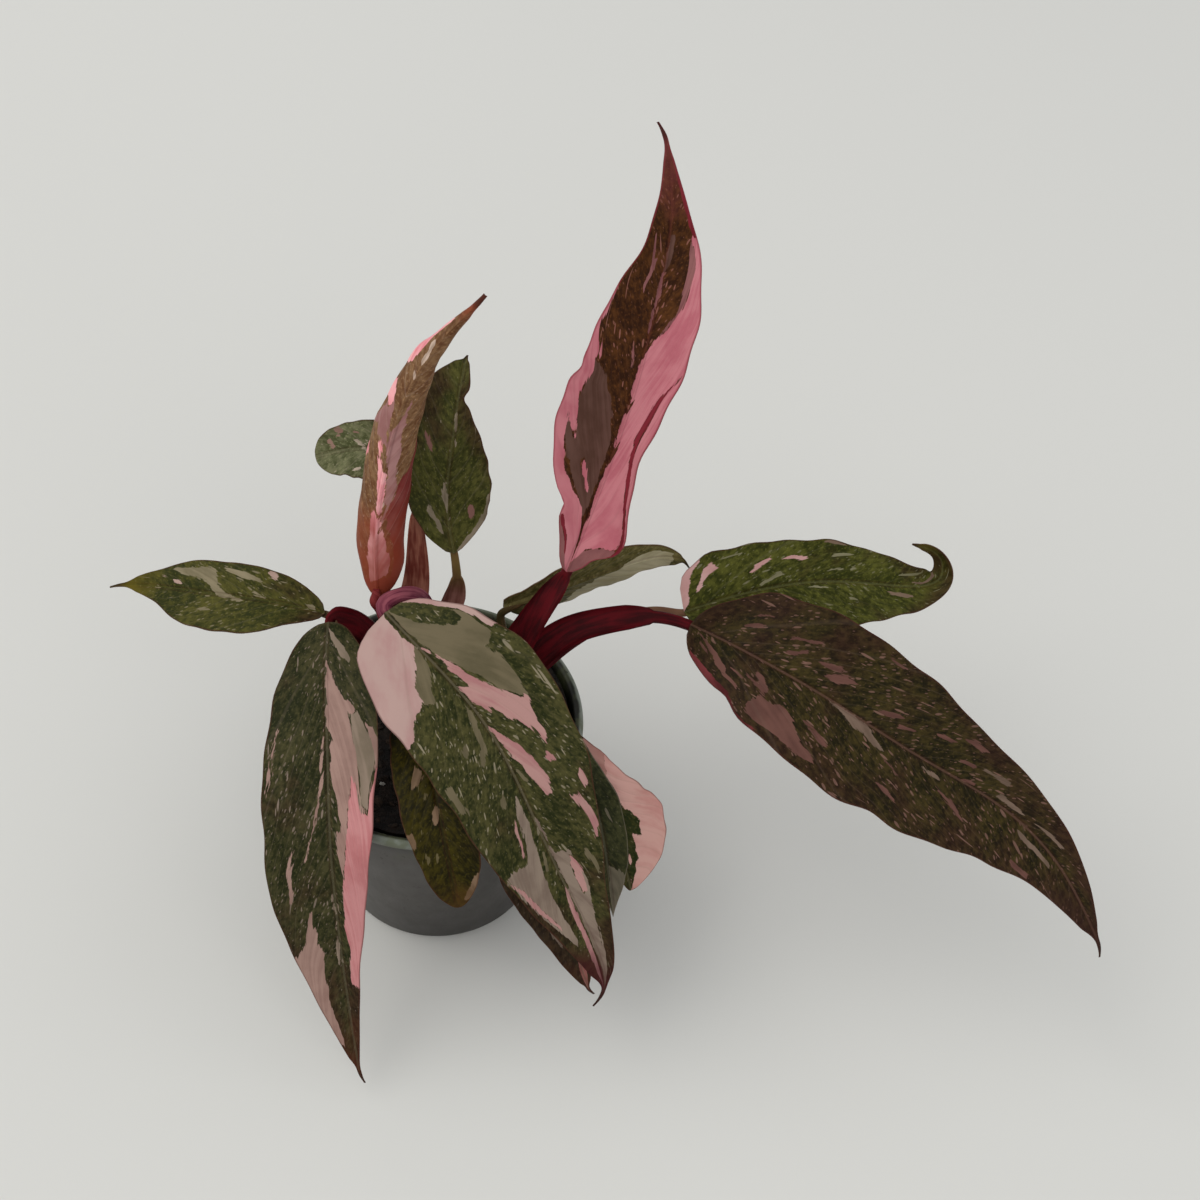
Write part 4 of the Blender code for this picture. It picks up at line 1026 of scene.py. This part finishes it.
def make_crumbs(name, seed, count, sizes, flatness, material):
    """Small broken lumps that lie on the soil, each a ball of facets pushed about by noise."""
    draw = random.Random(seed)
    bm = bmesh.new()
    for x, y in crumb_places(draw, count, sizes[1]):
        size = draw.uniform(*sizes) if draw.random() < 0.3 else draw.uniform(sizes[0], sum(sizes) / 2)
        lump = bmesh.ops.create_icosphere(bm, subdivisions=2, radius=1)
        spin = Matrix.Rotation(draw.uniform(0, 2 * math.pi), 3, "Z")
        tilt = Matrix.Rotation(draw.uniform(-0.5, 0.5), 3, "X")
        stretch = Vector((1, draw.uniform(0.55, 0.95), flatness * draw.uniform(0.7, 1.2)))
        shift = draw.uniform(0, 50)
        sit = Vector((x, y, soil_height(x, y) + 0.2 * size * stretch.z))
        for vert in lump["verts"]:
            rough = 1 + 0.45 * noise.noise(vert.co * 1.3 + Vector((shift, 0, 0)))
            rough += 0.15 * noise.noise(vert.co * 3.5 + Vector((0, shift, 0)))
            vert.co = sit + spin @ tilt @ (vert.co * stretch * rough * size)
    make_piece(name, mesh_from(bm), material, 40, "soil")


# Stems

def stem_material(name):
    s = Shader(name)
    place = s.place()
    streak = s.noise(place, (900, 900, 130), 4, detail=3)
    blotch = s.noise(place, (260, 260, 200), 5, detail=3)
    colour = s.mix(s.step(blotch, 0.4, 0.62), (45, 12, 12), (75, 50, 22))
    colour = s.over(colour, s.step(streak, 0.5, 0.62), 0.5, (120, 45, 40))
    return s.finish(colour, s.line(streak, 0.3, 0.3), 0.35, streak, 0.3 * MM, 0.6)


def make_stem(name, centre, top, foot_radius, top_radius):
    """A short cane, ringed at each node and domed at the top."""
    heights = np.linspace(STEM_FOOT, top, 90)[:, None]
    soil = SOIL_TOP / MM + 1.5
    share = np.clip((heights - soil) / (top - 1 - soil), 0, 1)
    ring = np.abs(share * STEM_NODES - np.round(share * STEM_NODES)) / STEM_NODES * (top - soil)
    radius = foot_radius + (top_radius - foot_radius) * share + 0.16 * bump_at(ring, 0, 0.5) - 0.12
    angle = circle(40)
    radius = radius * rounded((top - heights) / 1.4) * (1 + 0.03 * np.sin(3 * angle + heights))
    mesh = lofted(turned(radius, heights, angle) + (*centre, 0))
    make_piece(name + "_cane", mesh, stem_material(name + "_finish"), 50, name)


# Stage

def make_floor():
    s = Shader("floor_paper")
    cloud = s.noise(s.place(), (1.5, 1.5, 1.5), 1)
    darker = [0.97 * part for part in FLOOR_COLOUR]
    bm = bmesh.new()
    bmesh.ops.create_grid(bm, x_segments=8, y_segments=8, size=FLOOR_SIDE / 2)
    mesh = mesh_from(bm)
    mesh.materials.append(s.finish(s.mix(s.step(cloud, 0.3, 0.7), darker, FLOOR_COLOUR),
                                   s.line(cloud, 0.1, 0.8), 0.2))
    floor = link("floor", mesh)
    floor.location.z = -FLOOR_DROP


def make_lights():
    for name, (place, size, power, colour) in LIGHTS.items():
        data = bpy.data.lights.new(name, "AREA")
        data.shape = "DISK"
        data.size = size
        data.energy = power
        data.color = colour
        lamp = link(name, data)
        lamp.location = place
        lamp.rotation_euler = (LIGHTS_AIM - lamp.location).to_track_quat("-Z", "Y").to_euler()
    world = bpy.data.worlds.new("studio")
    world.use_nodes = True
    background = world.node_tree.nodes["Background"].inputs
    background["Color"].default_value = (*WORLD_COLOUR, 1)
    background["Strength"].default_value = WORLD_STRENGTH
    bpy.context.scene.world = world


def make_camera():
    data = bpy.data.cameras.new("camera")
    data.lens = CAMERA_LENS
    data.sensor_width = CAMERA_SENSOR
    data.sensor_height = CAMERA_SENSOR
    data.clip_start = 0.01
    camera = link("camera", data)
    tilt = Matrix.Rotation(math.radians(90 - CAMERA_LOOKS_DOWN), 4, "X")
    roll = Matrix.Rotation(math.radians(CAMERA_ROLL), 4, "Z")
    camera.matrix_world = Matrix.Translation(CAMERA_PLACE) @ tilt @ roll
    bpy.context.scene.camera = camera


def build():
    make_camera()
    make_lights()
    make_floor()
    make_pot()
    make_soil()
    make_crumbs("bark_crumbs", 3, 300, (0.5 * MM, 1.5 * MM), 0.55,
                soil_material("bark_finish", (12, 8, 5), (46, 28, 17), 4))
    make_crumbs("perlite", 8, 26, (0.5 * MM, 1.1 * MM), 0.8,
                soil_material("perlite_finish", (450, 430, 380), (700, 680, 620), 7))
    for name, sizes in STEMS.items():
        make_stem(name, *sizes)
    for i, (title, leaf) in enumerate(LEAVES.items()):
        make_leaf(title, leaf, 10.0 * i)
    bpy.context.scene.view_settings.view_transform = "Standard"


build()
